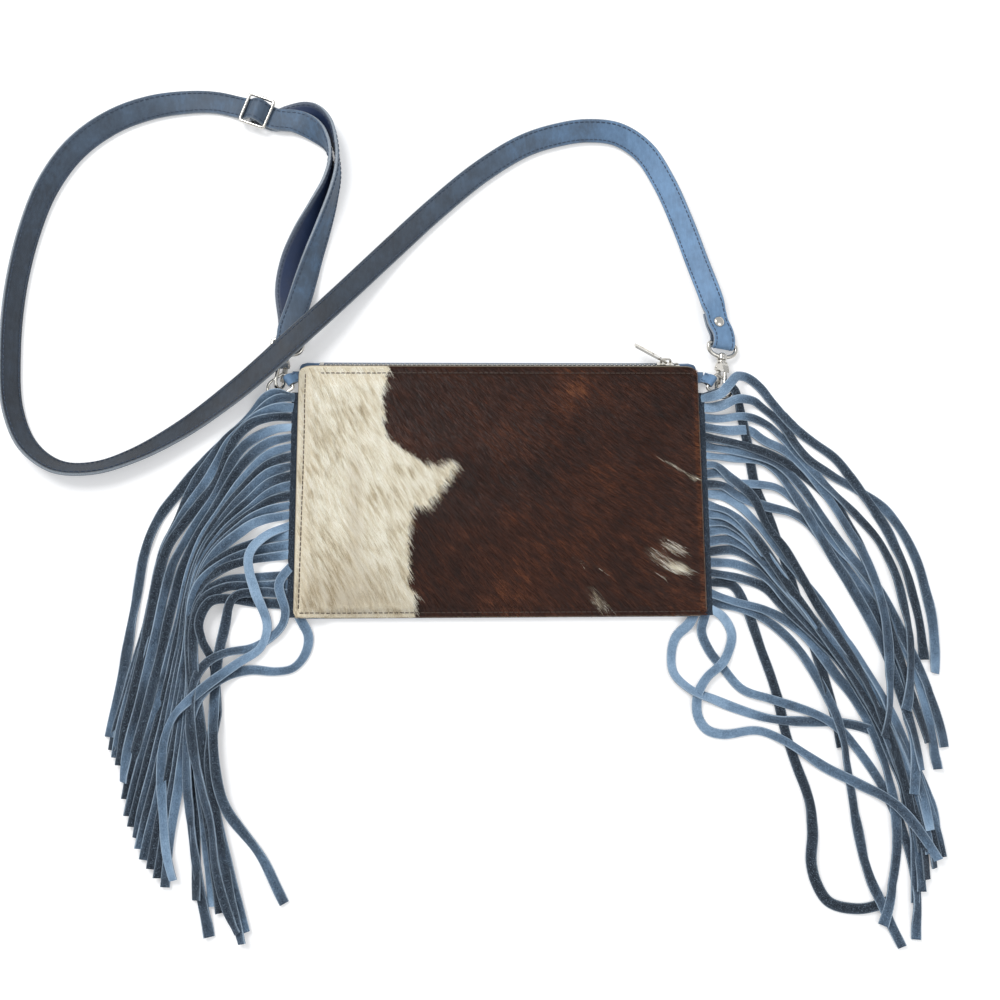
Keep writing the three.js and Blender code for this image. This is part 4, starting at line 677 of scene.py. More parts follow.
# Centre, half sizes, turn in degrees and how thick the white hairs stand
WHITE_PATCHES = [
    ((108, -48.5), (8.5, 4.4), -14, 1.5), ((100, -45), (15, 5.5), -30, 0.55),
    ((104, -35.5), (10, 4), -22, 0.7), ((58, -68), (9.5, 4.5), -48, 0.5),
    ((108, 14.5), (15, 1.0), -29, 0.5), ((121.5, 7.2), (3.2, 2.2), -30, 1.3),
    ((49, -46), (8, 0.7), -28, 0.35), ((98, -54), (9, 0.6), -24, 0.35), ((60, -50), (9, 0.5), -30, 0.25),
]


def inside_polygon(x, y, polygon):
    inside = np.zeros(np.shape(x), bool)
    for (x0, y0), (x1, y1) in zip(polygon, polygon[1:] + polygon[:1]):
        crosses = (y0 > y) != (y1 > y)
        with np.errstate(divide="ignore", invalid="ignore"):
            inside ^= crosses & (x < (x1 - x0) * (y - y0) / (y1 - y0) + x0)
    return inside


def whiteness(x, y):
    """The share of the hairs growing at a point that are white."""
    wx = x + 1.6 * lattice_noise(x / 4, y / 4, 21) + 0.8 * lattice_noise(x / 1.3, y / 1.3, 22)
    wy = y + 1.6 * lattice_noise(x / 4 + 9, y / 4, 23) + 0.8 * lattice_noise(x / 1.3, y / 1.3, 24)
    white = inside_polygon(wx, wy, WHITE_EDGE).astype(float)
    for (cx, cy), (rx, ry), turn, strength in WHITE_PATCHES:
        c, s = math.cos(math.radians(turn)), math.sin(math.radians(turn))
        u = ((x - cx) * c + (y - cy) * s) / rx
        v = (-(x - cx) * s + (y - cy) * c) / ry
        white = np.maximum(white, np.clip(1 - np.hypot(u, v), 0, 1) ** 0.8 * strength)
    return np.clip(white, 0, 1)


def hair_angle(x, y):
    """The way the hair lies, in radians: down to the right, steeper over the white."""
    degrees = np.interp(x, [-127, -70, -30, 40, 127], [-64, -58, -50, -43, -30])
    degrees = degrees + 6 * lattice_noise(x / 34, y / 30, 41) + 4 * lattice_noise(x / 11, y / 11, 42)
    near_foot = smooth_array((y + 62) / -14)
    near_side = smooth_array((x - 119) / 5)
    return np.radians(degrees * (1 - 0.6 * near_side) - 12 * near_foot)


def hair(name, count, wants_white, seed):
    local = np.random.default_rng(seed)
    x = local.uniform(-BAG_WIDTH / 2 + 0.6, BAG_WIDTH / 2 - 1.0, count * 3)
    y = local.uniform(BOTTOM_Y + 0.6, FRONT_TOP_Y - 0.6, count * 3)
    white = whiteness(x, y)
    white = (white > local.uniform(0.02, 0.98, len(x))).astype(float)
    keep = (white > 0.5) == wants_white
    seam = stitch_distance(x, y)
    keep &= seam > 0.75
    x, y, white, seam = (v[keep][:count] for v in (x, y, white, seam))
    n = len(x)
    angle = hair_angle(x, y) + local.normal(0, 0.085, n)
    lie = math.radians(-60 if wants_white else -43)
    down, across = x * math.cos(lie) + y * math.sin(lie), y * math.cos(lie) - x * math.sin(lie)
    clump = lattice_noise(across / 1.3, down / 6.5, 51)
    angle += 0.09 * clump
    length = local.uniform(5.5, 9.5, n) * np.where(seam < 3, 0.6, 1) * np.where(x > 120, 0.6, 1)
    dx, dy = np.cos(angle), np.sin(angle)
    room = np.minimum((BAG_WIDTH / 2 + 0.3 - x) / np.maximum(dx, 1e-3),
                      (BOTTOM_Y - 0.4 - y) / np.minimum(dy, -1e-3))
    length = np.clip(np.minimum(length, room), 0.8, 9)
    width = local.uniform(0.1, 0.18, n)
    lift = local.uniform(0.16, 0.5, n) * np.where(seam < 3, 0.6, 1)
    bow = local.normal(0, 0.25, n)
    verts = np.empty((n, 5, 3))
    roll = local.normal(0, 0.45, n)
    corners = [(0.0, 1, -0.05), (0.0, -1, -0.05), (0.55, 0.8, 1), (0.55, -0.8, 1), (1.0, 0, 0.75)]
    for column, (share, half, rise) in enumerate(corners):
        px = x + dx * length * share - dy * (half * width / 2 + bow * share * share)
        py = y + dy * length * share + dx * (half * width / 2 + bow * share * share)
        verts[:, column, 0] = px
        verts[:, column, 1] = py
        verts[:, column, 2] = hide_z(px, py) + rise * lift + half * width / 2 * np.sin(roll)
    start = np.arange(n)[:, None] * 5
    quads = (start + np.array([0, 1, 3, 2])).tolist()
    tips = (start + np.array([2, 3, 4])).tolist()
    # Each hair's tone: random, plus a tuft term that makes whole tufts lighter and paints the gaps between
    # them darker as shade.
    spread, tuft_shade = (0.32, 0.8) if wants_white else (0.4, 0.5)
    tone = np.repeat(0.5 + 0.5 * np.clip(local.normal(0, spread, n) + tuft_shade * clump, -1, 1), 5)
    along = np.tile([0.0, 0.0, 0.55, 0.55, 1.0], n)
    attributes = {"tone": ("FLOAT", tone), "along": ("FLOAT", along)}
    return make(name, verts.reshape(-1, 3).tolist(), quads + tips, attributes, smooth_shade=False)


STITCH_LINES = [
    [(-112.5, 73.2), (121.4, 73.4)], [(-121.8, 73.4), (-123.9, -75.6)], [(-123.4, -76.1), (123, -76.3)],
]


def stitch_distance(x, y):
    nearest = np.full(np.shape(x), 99.0)
    for (x0, y0), (x1, y1) in STITCH_LINES:
        length = math.hypot(x1 - x0, y1 - y0)
        ux, uy = (x1 - x0) / length, (y1 - y0) / length
        along = np.clip((x - x0) * ux + (y - y0) * uy, 0, length)
        nearest = np.minimum(nearest, np.hypot(x - x0 - ux * along, y - y0 - uy * along))
    return nearest


# Threads

def stitch(shells, a, b, up, radius=0.27, sink=0.1, **values):
    """One visible stitch between two holes: a short thread that dips into both."""
    a, b, up = np.asarray(a, float), np.asarray(b, float), unit(up)
    along = b - a
    points = [a - up * 0.35, a + along * 0.1 + up * (radius - sink),
              a + along * 0.5 + up * (radius - sink * 0.4),
              b - along * 0.1 + up * (radius - sink), b - up * 0.35]
    shells.add(*tube(points, radius, sides=6), **values)


# Straps and strands

def ribbon(shells, stations, section, **values):
    """stations: point, side, width, thickness and any values by name. section: [across, up, edge, face]."""
    points = np.array([s["point"] for s in stations])
    tangents = np.gradient(points, axis=0)
    rings, along_values, edge, face, across = [], [], [], [], []
    run = run_along(points)
    extra = {key: [] for key in stations[0] if key not in ("point", "side", "width", "thickness")}
    for i, s in enumerate(stations):
        tangent = unit(tangents[i])
        side = np.asarray(s["side"], float)
        side = unit(side - tangent * side.dot(tangent))
        up = np.cross(tangent, side)
        rings.append([points[i] + side * (a * s["width"] / 2) + up * (b * s["thickness"])
                      for a, b, _, _ in section])
        along_values.extend([run[i]] * len(section))
        edge.extend(e for _, _, e, _ in section)
        face.extend(f for _, _, _, f in section)
        across.extend(a * s["width"] / 2 for a, _, _, _ in section)
        for key in extra:
            extra[key].extend([s[key]] * len(section))
    verts, faces = loft(rings)
    shells.add(verts, faces, run=along_values, edge=edge, face=face, across=across, **extra, **values)


STRAND_SECTION = [
    (-0.93, 0.44, 1, 1), (-0.78, 0.49, 0.12, 1), (0, 0.56, 0, 1), (0.78, 0.49, 0.12, 1), (0.93, 0.44, 1, 1),
    (1.0, 0.1, 1, 0), (0.97, -0.4, 1, -1), (0.6, -0.47, 0, -1), (0, -0.44, 0, -1), (-0.6, -0.47, 0, -1),
    (-0.97, -0.4, 1, -1), (-1.0, 0.1, 1, 0),
]

CELL = 1.5
EDGE_REACH = 2.6
STEEPEST = math.radians(34)
STEPS = 120
LENGTH = 254
TOP_STRAND_Y = 59.9
STRAND_ROOT_X = 128.2


def row_y(row):
    return TOP_STRAND_Y if row == 0 else 66 - 6.2 * row


def route_points(start, route):
    control = [np.array(p, float) for p in [start, *route]]
    fine = []
    for i in range(len(control) - 1):
        fine.extend(centripetal(control, i, k / 40) for k in range(40))
    fine.append(control[-1])
    fine = np.array(fine)
    run = run_along(fine)
    places = np.linspace(0, min(LENGTH, run[-1]), STEPS + 1)
    return np.stack([np.interp(places, run, fine[:, 0]), np.interp(places, run, fine[:, 1])], 1)


def strand_routes(side):
    guides = RIGHT_GUIDES if side > 0 else LEFT_GUIDES
    strays = RIGHT_STRAYS if side > 0 else LEFT_STRAYS
    root = side * STRAND_ROOT_X
    rows = sorted(guides)
    guided = {row: route_points((root, row_y(row)), guides[row]) for row in rows}
    own = []
    for number, s in enumerate(strays):
        start = s["from"] if "from" in s else (root, row_y(s["row"]))
        own.append((f"stray{number}", route_points(start, s["route"])))
    rest = []
    for row in range(23):
        if any(s.get("row") == row for s in strays):
            continue
        low = max([r for r in rows if r <= row] or [rows[0]])
        high = min(r for r in rows if r >= row)
        t = 0 if high == low else (row - low) / (high - low)
        line = guided[low] * (1 - t) + guided[high] * t
        near = np.array([1 - smooth(k / 12) for k in range(STEPS + 1)])
        line[:, 1] += near * (row_y(row) - lerp(row_y(low), row_y(high), t))
        rest.append((row, line))
    return own[:4] + rest[::-1] + own[4:] if side > 0 else rest + own


class Ground:
    """Heights of what lies beneath the strands, kept by cell."""

    def __init__(self, side):
        self.cells = {}
        self.humps = HUMPS[side]

    def at(self, x, y):
        height = self.cells.get((round(x / CELL), round(y / CELL)), 0.0)
        if abs(x) < 150 and y > 55:
            for hump in self.humps:
                (x0, y0), (x1, y1) = hump["from"], hump["to"]
                dx, dy = x1 - x0, y1 - y0
                t = min(max(((x - x0) * dx + (y - y0) * dy) / (dx * dx + dy * dy), 0), 1)
                if math.hypot(x - x0 - t * dx, y - y0 - t * dy) < hump["reach"]:
                    height = max(height, hump["height"])
        on_bag = abs(x) < BAG_WIDTH / 2 + 0.6 and y > BOTTOM_Y - 0.6
        return max(height, BACK_THICKNESS + 1.2) if on_bag else height

    def raise_to(self, x, y, height):
        key = (round(x / CELL), round(y / CELL))
        self.cells[key] = max(self.cells.get(key, 0.0), height)


def widest(values, reach):
    padded = np.pad(values, reach, mode="edge")
    return np.max([padded[i:i + len(values)] for i in range(2 * reach + 1)], axis=0)


def eased(values, reach):
    weights = np.exp(-0.5 * (np.arange(-3 * reach, 3 * reach + 1) / reach) ** 2)
    padded = np.pad(values, 3 * reach, mode="edge")
    return np.convolve(padded, weights / weights.sum(), mode="valid")


def lay_strand(ground, route, local):
    """Each edge rests on what is under it, so strands lean on each other. Far out the pile is pressed."""
    heading = np.gradient(route, axis=0)
    heading /= np.linalg.norm(heading, axis=1)[:, None]
    left = np.stack([-heading[:, 1], heading[:, 0]], 1)

    def under(k, offset):
        p = route[k] + left[k] * offset
        return ground.at(p[0], p[1])

    ks = range(STEPS + 1)
    highs = [np.array([max(under(k, o * EDGE_REACH), under(k, o * EDGE_REACH / 2)) for k in ks])
             for o in (1, 0, -1)]
    highs = [eased(widest(h, 3), 2) for h in highs]
    roll = np.clip(np.arctan2(highs[0] - highs[2], 2 * EDGE_REACH), -STEEPEST, STEEPEST)
    roll = eased(roll, 2)
    lean = np.tan(roll) * EDGE_REACH
    low = 0.12 + np.abs(np.sin(roll)) * STRAND_HALF
    height = np.max([highs[0] - lean, highs[2] + lean, highs[1], low], axis=0)
    root = HEADER_Z
    blend = np.array([smooth(k / 5) for k in ks])
    height = root + (height - root) * blend
    roll = roll * blend
    for k in ks:
        if k < 1:
            continue
        for offset in np.arange(-STRAND_HALF, STRAND_HALF + 0.1, STRAND_HALF / 4):
            p = route[k] + left[k] * offset
            ground.raise_to(p[0], p[1], height[k] + STRAND_THICKNESS + math.tan(roll[k]) * offset + 0.1)
    z = height + STRAND_THICKNESS / 2
    pressed = np.array([lerp(1, PRESSED, smooth((abs(x) - PRESSED_FROM_X) / 12)) for x in route[:, 0]])
    z = np.minimum(z, 3 + np.maximum(z - 3, 0) * pressed)
    roll = roll * (0.4 + 0.6 * pressed)
    wave = eased(local.normal(0, 1, STEPS + 1), 5) * 2.2
    free = np.array([smooth((k - 8) / 14) for k in ks])
    z = z + free * (0.35 + 0.35 * wave) * (z > 1.5)
    roll = roll + free * 0.85 * eased(local.normal(0, 1, STEPS + 1), 4)
    roll = np.clip(roll, -STEEPEST, STEEPEST)
    z = np.maximum(z, 0.62 + np.abs(np.sin(roll)) * STRAND_HALF)
    return z, roll, left


# Painted light and shade per strand: each strand's tone sets how lit its face looks, light for strands turned
# towards the light and dark for those turned away.
TONES = {
    1: {"stray0": -0.4, "stray1": 0.05, "stray2": 0.75, "stray3": 0.6, "stray4": 0.85, 1: 0.62, 2: 0.8,
        3: 0.7, 4: 0.85, 5: -0.05, 6: 0.8, 7: 0.75, 8: 0.0, 9: 0.9, 10: 0.5, 11: 0.85, 12: 0.2, 13: 0.75,
        14: 0.1, 15: 0.8, 16: 0.55, 17: -0.05, 18: 0.7, 19: 0.3, 21: 0.65, 22: 0.5},
    -1: {"stray0": 0.3, "stray1": 0.6, "stray2": 0.45, "stray3": 1.0, 0: 0.5, 1: 0.3, 2: 0.7, 3: 0.1,
        4: 0.55, 5: 0.2, 6: 0.75, 7: 0.0, 8: 0.5, 9: 0.25, 10: 0.7, 11: 0.05, 12: 0.4, 13: 0.8, 15: 0.1,
        16: 0.5, 17: -0.1, 19: 0.35, 20: 0.15, 22: 0.0},
}


def fringe(side, name, node):
    ground = Ground(side)
    local = np.random.default_rng(90 + side)
    shells = Shells()
    for order, (key, route) in enumerate(strand_routes(side)):
        z, roll, left = lay_strand(ground, route, local)
        tone = TONES[side].get(key, float(np.clip(local.normal(0.5, 0.24), 0, 1)))
        widths = 5.9 + np.clip(1.6 * eased(local.normal(0, 1, STEPS + 1), 4), -0.9, 0.7)
        # Painted light and shade along each strand: a slow drift in tone, lighter near the root where the
        # strand rises towards the light and darker far out where it runs down and away.
        drift = 0.75 * eased(local.normal(0, 1, STEPS + 1), 7)
        out_there = smooth_array((np.abs(route[:, 0]) - 146) / 26)
        painted_shade_far_out = 0.5 if side > 0 and isinstance(key, int) and key <= 8 else 0.3
        tones = tone + 0.12 * (1 - out_there) + drift - painted_shade_far_out * out_there
        stations = []
        for k in range(STEPS + 1):
            across = np.array([left[k][0] * math.cos(roll[k]), left[k][1] * math.cos(roll[k]),
                               math.sin(roll[k])])
            stations.append({"point": np.array([route[k][0], route[k][1], z[k]]), "side": across,
                             "width": widths[k] * (0.9 + 0.1 * smooth(k / 4)), "thickness": STRAND_THICKNESS,
                             "tone": tones[k]})
        ribbon(shells, stations, STRAND_SECTION, strand=float(order))
    outer = side * 131.2
    inner = side * 119
    rows = np.linspace(BOTTOM_Y + 0.6, 63.2, 90)
    stations = [{"point": np.array([(outer + inner) / 2, y,
                                    HEADER_Z + HEADER_THICKNESS / 2 + 0.05 * math.sin(y)]),
                 "side": np.array([-1.0, 0, 0]), "width": abs(outer - inner) + 0.2 * math.sin(y * 1.7),
                 "thickness": HEADER_THICKNESS, "tone": -0.12}
                for y in rows]
    ribbon(shells, stations, [(a, b, 0, f) for a, b, _, f in STRAND_SECTION], strand=60.0)
    return dress(shells.build(name), suede, replaces=[node])


# Strap

STRAP_SECTION = [
    (-0.965, 0.44, 0.35, 1), (-0.9, 0.5, 0, 1), (-0.45, 0.53, 0, 1), (0, 0.54, 0, 1), (0.45, 0.53, 0, 1),
    (0.9, 0.5, 0, 1), (0.965, 0.44, 0.35, 1), (1.0, 0.2, 1, 0), (1.0, -0.2, 1, 0), (0.965, -0.44, 0.5, -1),
    (0.5, -0.5, 0, -1), (0, -0.5, 0, -1), (-0.5, -0.5, 0, -1), (-0.965, -0.44, 0.5, -1), (-1.0, -0.2, 1, 0),
    (-1.0, 0.2, 1, 0),
]


def rolled_side(heading, roll):
    left = unit((-heading[1], heading[0], 0))
    angle = math.radians(roll)
    return left * math.cos(angle) + np.array([0, 0, 1]) * math.sin(angle)


def route_stations(route):
    out = []
    for i, (x, y, z, roll) in enumerate(route):
        before, after = route[max(i - 1, 0)], route[min(i + 1, len(route) - 1)]
        heading = (after[0] - before[0], after[1] - before[1])
        out.append({"point": np.array([x, y, z], float), "side": rolled_side(heading, roll),
                    "thickness": STRAP_THICKNESS})
    return out


def turned_about(v, axis, angle):
    return np.array(Matrix.Rotation(angle, 3, Vector(axis)) @ Vector(v))


def fold_frame(spec, distance):
    square = -unit(spec["axis"])
    target = unit((*spec["strap"], 0))
    along = unit(square + (target - square) * smooth((distance - 2) / 13))
    side = turned_about((-along[1], along[0], 0), along, -math.radians(spec["eyeRoll"]))
    return along, side, unit(np.cross(along, side))


def fold_stations(spec, path):
    out = []
    for distance, height, thickness in path:
        along, side, up = fold_frame(spec, distance)
        out.append({"point": np.array(spec["bar"]) + along * distance + up * height, "side": side,
                    "thickness": thickness})
    return out


def slide_stations(path):
    along, side, _ = heading_axes(STRAP_SLIDE["heading"])
    centre = np.array([*STRAP_SLIDE["centre"], 0.0])
    return [{"point": centre + along * u + np.array([0, 0, z]), "side": side, "thickness": t}
            for u, z, t in path]


def smooth_stations(stations, spacing):
    """The same curve as the CAD strap's, with stations close enough for its bends to be round."""
    points = [s["point"] for s in stations]
    out = []
    for i, (a, b) in enumerate(zip(stations, stations[1:])):
        steps = max(1, round(np.linalg.norm(b["point"] - a["point"]) / spacing))
        for k in range(steps):
            t = k / steps
            side = unit(a["side"] + (b["side"] - a["side"]) * t)
            thickness = lerp(a["thickness"], b["thickness"], t)
            point = centripetal(points, i, t)
            clear = abs(side[2]) * STRAP_WIDTH / 2 + math.sqrt(max(1 - side[2] ** 2, 0)) * thickness / 2 + 0.1
            point[2] = max(point[2], clear)
            out.append({"point": point, "side": side, "thickness": thickness, "width": STRAP_WIDTH})
    out.append({**stations[-1], "width": STRAP_WIDTH})
    return out


def strap():
    right, left = CLASPS["right"], CLASPS["left"]
    stations = [
        *fold_stations(right, [[22, -1.35, 2.2], [15, -1.35, 2.2], *FOLD_BIGHT, [15, 1.35, 2.2],
                               [22, 1.25, 2.2]]),
        *route_stations(STRAP_MAIN), *slide_stations(OVER_SLIDE), *route_stations(STRAP_RUNNING),
        *fold_stations(left, [[15, -2.0, 2.2], *FOLD_BIGHT]), *route_stations(STRAP_BACK),
        *slide_stations(ROUND_BAR),
    ]
    fine = smooth_stations(stations, 1.6)
    points = np.array([s["point"] for s in fine])
    run = run_along(points)
    places = [share for share, _ in STRAP_LIGHT_AND_SHADE]
    for s, r in zip(fine, run):
        s["tone"] = float(np.interp(r, places, [tone for _, tone in STRAP_LIGHT_AND_SHADE]))
    shells = Shells()
    ribbon(shells, fine, STRAP_SECTION)
    dress(shells.build("strap_leather"), strap_leather, replaces=["strap"])
    threads = Shells()
    sides = np.array([s["side"] for s in fine])
    tangents = np.gradient(points, axis=0)
    tangents /= np.linalg.norm(tangents, axis=1)[:, None]
    ups = np.cross(tangents, sides)
    ups /= np.linalg.norm(ups, axis=1)[:, None]
    thick = np.array([s["thickness"] for s in fine])

    def at(r, across, face):
        p = np.array([np.interp(r, run, points[:, c]) for c in range(3)])
        side = unit([np.interp(r, run, sides[:, c]) for c in range(3)])
        up = unit([np.interp(r, run, ups[:, c]) for c in range(3)]) * face
        return p + side * across + up * (np.interp(r, run, thick) * 0.5), up

    for across in (-5.6, 5.6):
        for k in range(int((run[-1] - 4) / STITCH_PITCH)):
            r = 2 + k * STITCH_PITCH
            for face in (1, -1):
                a, up = at(r, across, face)
                b, _ = at(r + STITCH_LENGTH, across, face)
                stitch(threads, a, b, up, 0.3, 0.12)
    dress(threads.build("strap_thread"), thread_blue)


# Metalwork, drawn in each piece's own frame and then placed

def plate(outline, z0, z1, holes=()):
    loops = [list(outline), *[list(h) for h in holes]]
    flat = [p for loop in loops for p in loop]
    triangles = tessellate_polygon([[Vector((x, y, 0)) for x, y in loop] for loop in loops])
    count = len(flat)
    verts = [(x, y, z0) for x, y in flat] + [(x, y, z1) for x, y in flat]
    faces = [tuple(t) for t in triangles] + [tuple(i + count for i in t) for t in triangles]
    start = 0
    for loop in loops:
        for k in range(len(loop)):
            a, b = start + k, start + (k + 1) % len(loop)
            faces.append((a, b, b + count, a + count))
        start += len(loop)
    return verts, faces


def turn_x(shell, degrees):
    c, s = math.cos(math.radians(degrees)), math.sin(math.radians(degrees))
    return [(x, y * c - z * s, y * s + z * c) for x, y, z in shell[0]], shell[1]


def turn_y(shell, degrees):
    c, s = math.cos(math.radians(degrees)), math.sin(math.radians(degrees))
    return [(x * c + z * s, y, -x * s + z * c) for x, y, z in shell[0]], shell[1]


def shifted(shell, dx, dy, dz):
    return [(x + dx, y + dy, z + dz) for x, y, z in shell[0]], shell[1]


def aimed(origin, axis, roll=0.0):
    """Places a shell whose +X is to run along axis, its +Z as near up as it can be, then rolled."""
    x = unit(axis)
    y = unit(np.cross((0, 0, 1), x))
    z = np.cross(x, y)
    c, s = math.cos(math.radians(roll)), math.sin(math.radians(roll))
    return np.asarray(origin, float), x, y * c + z * s, z * c - y * s


def metal(name, shells, node, body, bevel=0.0, finish=None):
    """Joins shells, evens their faces' directions and softens the edges."""
    gathered = Shells()
    for shell in shells:
        gathered.add(*shell)
    obj = gathered.build(name)
    face_outward(obj)
    obj.data.polygons.foreach_set("use_smooth", [True] * len(obj.data.polygons))
    obj.data.set_sharp_from_angle(angle=math.radians(40))
    if bevel:
        modifier = obj.modifiers.new("edges", "BEVEL")
        modifier.width = bevel * MM
        modifier.segments = 3
        modifier.limit_method = "ANGLE"
        modifier.angle_limit = math.radians(40)
        modifier.harden_normals = True
    return dress(obj, finish or nickel, body, [node] if node else ())


def clasp(name):
    spec = CLASPS[name]
    origin = np.array(spec["bar"]) + unit(spec["axis"]) * 10.5
    eye_frame = aimed(origin, spec["axis"], spec["eyeRoll"])
    half = 16.4 / 2 + 1.4
    loop = drawn((-10.5, half - 2), (-10.5, 2 - half), (-10.5, -half, -8.5, -half),
                 (-3.0, -half, -2.2, -1.6, 10), (-2.2, 1.6), (-3.0, half, -8.5, half, 10),
                 (-10.5, half, -10.5, half - 2))
    loop = even_loop(loop, 0.8)
    eye = [tube([(x, y, 0) for x, y in loop], 1.4, True, 18),
           lathe([(-3.5, 1.6), (-3.5, 2.9), (-3.2, 3.2), (-2.6, 3.3), (-1.9, 3.05), (-1.6, 3.05), (-0.9, 3.3),
                  (-0.3, 3.2), (0, 2.9), (0, 1.6)], 36)]
    metal(f"eye_{name}", [placed(s, *eye_frame) for s in eye], f"clasp_eye_{name}", "bag")
    hook_frame = aimed(origin, spec["axis"], spec["hookRoll"])
    body = f"hook_{name}"
    end = 20.8 - 4.2
    bend = [(6.6, 3.7), (7.6, 4.0), (9.0, 4.2), (end, 4.2)]
    bend += arc(end, 0, 4.2, math.pi / 2, -math.pi / 2, 20)[1:]
    bend += [(end - 1.4, -4.1), (end - 2.6, -4.0)]
    outline = drawn((1.5, -2.2), (4.2, -4.3), (6.6, -4.6, 6.8, -2.6, 6), (6.2, 0.6, 8.6, 2.9, 6),
                    (9.4, 5.5), (4.2, 5.2, 1.5, 2.2, 6))
    cheeks = [plate(outline, 1.3, 2.3), plate(outline, -2.3, -1.3)]
    core = drawn((1.5, -2.2), (2.9, -3.2), (2.9, 0.4), (7.2, 0.4), (8.6, 2.9), (9.4, 5.5),
                 (4.2, 5.2, 1.5, 2.2, 6))
    stem = lathe([(-4.7, 0.05), (-4.65, 1.3), (-4.3, 2.0), (-4.0, 2.2), (-3.9, 2.1), (-3.9, 1.3), (0.6, 1.3),
                  (0.6, 0.05)], 28)
    collar = lathe([(0.3, 0.05), (0.3, 2.5), (0.55, 2.85), (1.0, 3.0), (2.0, 3.0), (2.5, 2.85), (2.8, 2.5),
                    (2.8, 0.05)], 36)
    shank = tube([(x, y, 0) for x, y in even_line(bend, 0.7)], 1.3, False, 18)
    hook_shells = [stem, collar, *cheeks, plate(core, -1.35, 1.35), shank]
    tip = lathe([(-1.3, 0.05), (-1.1, 0.75), (-0.6, 1.15), (0, 1.3), (0.6, 1.15), (1.1, 0.75), (1.3, 0.05)],
                18)
    hook_shells.append(shifted(tip, end - 2.6, -4.0, 0))
    metal(f"hook_{name}_metal", [placed(s, *hook_frame) for s in hook_shells], f"clasp_hook_{name}", body,
          0.2)
    px, py = 4.6, -2.7
    pin = turn_y(lathe([(-2.7, 0.05), (-2.65, 0.5), (-2.45, 0.7), (2.45, 0.7), (2.65, 0.5), (2.7, 0.05)], 20),
                 90)
    metal(f"pin_{name}_metal", [placed(shifted(pin, px, py, 0), *hook_frame)], f"gate_pin_{name}", body)
    tip_x = end - 2.6 - px
    inner = -4.2 + 0.2 + 1.3 + 0.3 - py
    shape = [(0, -1.5), (tip_x - 0.4, inner - 2.2), (tip_x - 0.4, inner), (tip_x + 1.8, inner),
             (tip_x + 1.8, inner + 0.9), (tip_x - 0.6, inner + 1.1), (1.0, 1.3)]
    shape += [p for p in arc(0, 0, 1.6, math.pi * 0.33, math.pi * 1.5, 14)][1:-1]
    gate = plate([(x + px, y + py) for x, y in shape], -1.0, 1.0,
                 [arc(px, py, 1.0, 0, 2 * math.pi * 23 / 24, 23)])
    metal(f"gate_{name}_metal", [placed(gate, *hook_frame)], f"clasp_gate_{name}", f"gate_{name}", 0.3)


def even_line(points, spacing):
    pts = np.array(points, float)
    run = run_along(pts)
    places = np.linspace(0, run[-1], max(3, int(run[-1] / spacing)))
    return [tuple(np.interp(places, run, pts[:, c])[k] for c in range(pts.shape[1]))
            for k in range(len(places))]


def even_loop(points, spacing):
    return even_line([*points, points[0]], spacing)[:-1]


def ring(name):
    spec = RINGS[name]
    half, depth = 9.5 / 2 + 1, 13 + 2.0
    loop = drawn((0, half - 2), (0, half, 2, half, 6), (depth - half, half))
    loop += arc(depth - half, 0, half, math.pi / 2, -math.pi / 2, 24)[1:]
    loop += drawn((2, -half), (0, -half, 0, 2 - half, 6))
    frame_axes = (np.array(spec["bar"]), *heading_axes(spec["heading"]))
    wire = tube([(x, y, 0) for x, y in even_loop(loop, 0.7)], 1.0, True, 18)
    metal(f"ring_{name}_metal", [placed(wire, *frame_axes)], f"d_ring_{name}", f"ring_{name}")


def ring_tab(side):
    name = "right" if side > 0 else "left"
    spec = RINGS[name]
    x_axis, y_axis, z_axis = heading_axes(spec["heading"])
    along = x_axis * math.cos(TAB_SLOPE) + z_axis * math.sin(TAB_SLOPE)
    up = np.cross(along, y_axis)
    bar = np.array(spec["bar"])
    path = [(-6.4, -0.32), (-4.6, -0.36), (-3.0, -0.7), (-2.0, -1.42)]
    path += [(2.0 * math.cos(a), 2.0 * math.sin(a)) for a in np.radians(np.arange(-128, 129, 16))]
    path += [(-2.0, 1.42), (-3.0, 0.7), (-4.6, 0.36), (-6.4, 0.32)]
    stations = []
    points = [bar + along * u + up * v for u, v in even_line(path, 0.5)]
    for p in points:
        stations.append({"point": p, "side": -y_axis, "width": 7, "thickness": 1.0})
    shells = Shells()
    ribbon(shells, stations, STRAP_SECTION, tone=0.85)
    x0 = 119.5 if side > 0 else -131
    tongue = [{"point": np.array([x, 73.5, HEADER_Z + 0.6]), "side": np.array([0, 1.0, 0]), "width": 7.2,
               "thickness": 1.15} for x in np.linspace(x0, x0 + 11.5, 14)]
    ribbon(shells, tongue, STRAP_SECTION, tone=0.7)
    obj = shells.build(f"ring_tab_{name}_leather")
    dress(obj, strap_leather, replaces=[f"ring_tab_{name}"])
    threads = Shells()
    for v in (-2.3, 2.3):
        for u in (-5.9, -4.2):
            a = bar + along * u + up * 0.86 + y_axis * v
            stitch(threads, a, a + along * 1.2, up, 0.24, 0.1)
    dress(threads.build(f"ring_tab_{name}_thread"), thread_blue)


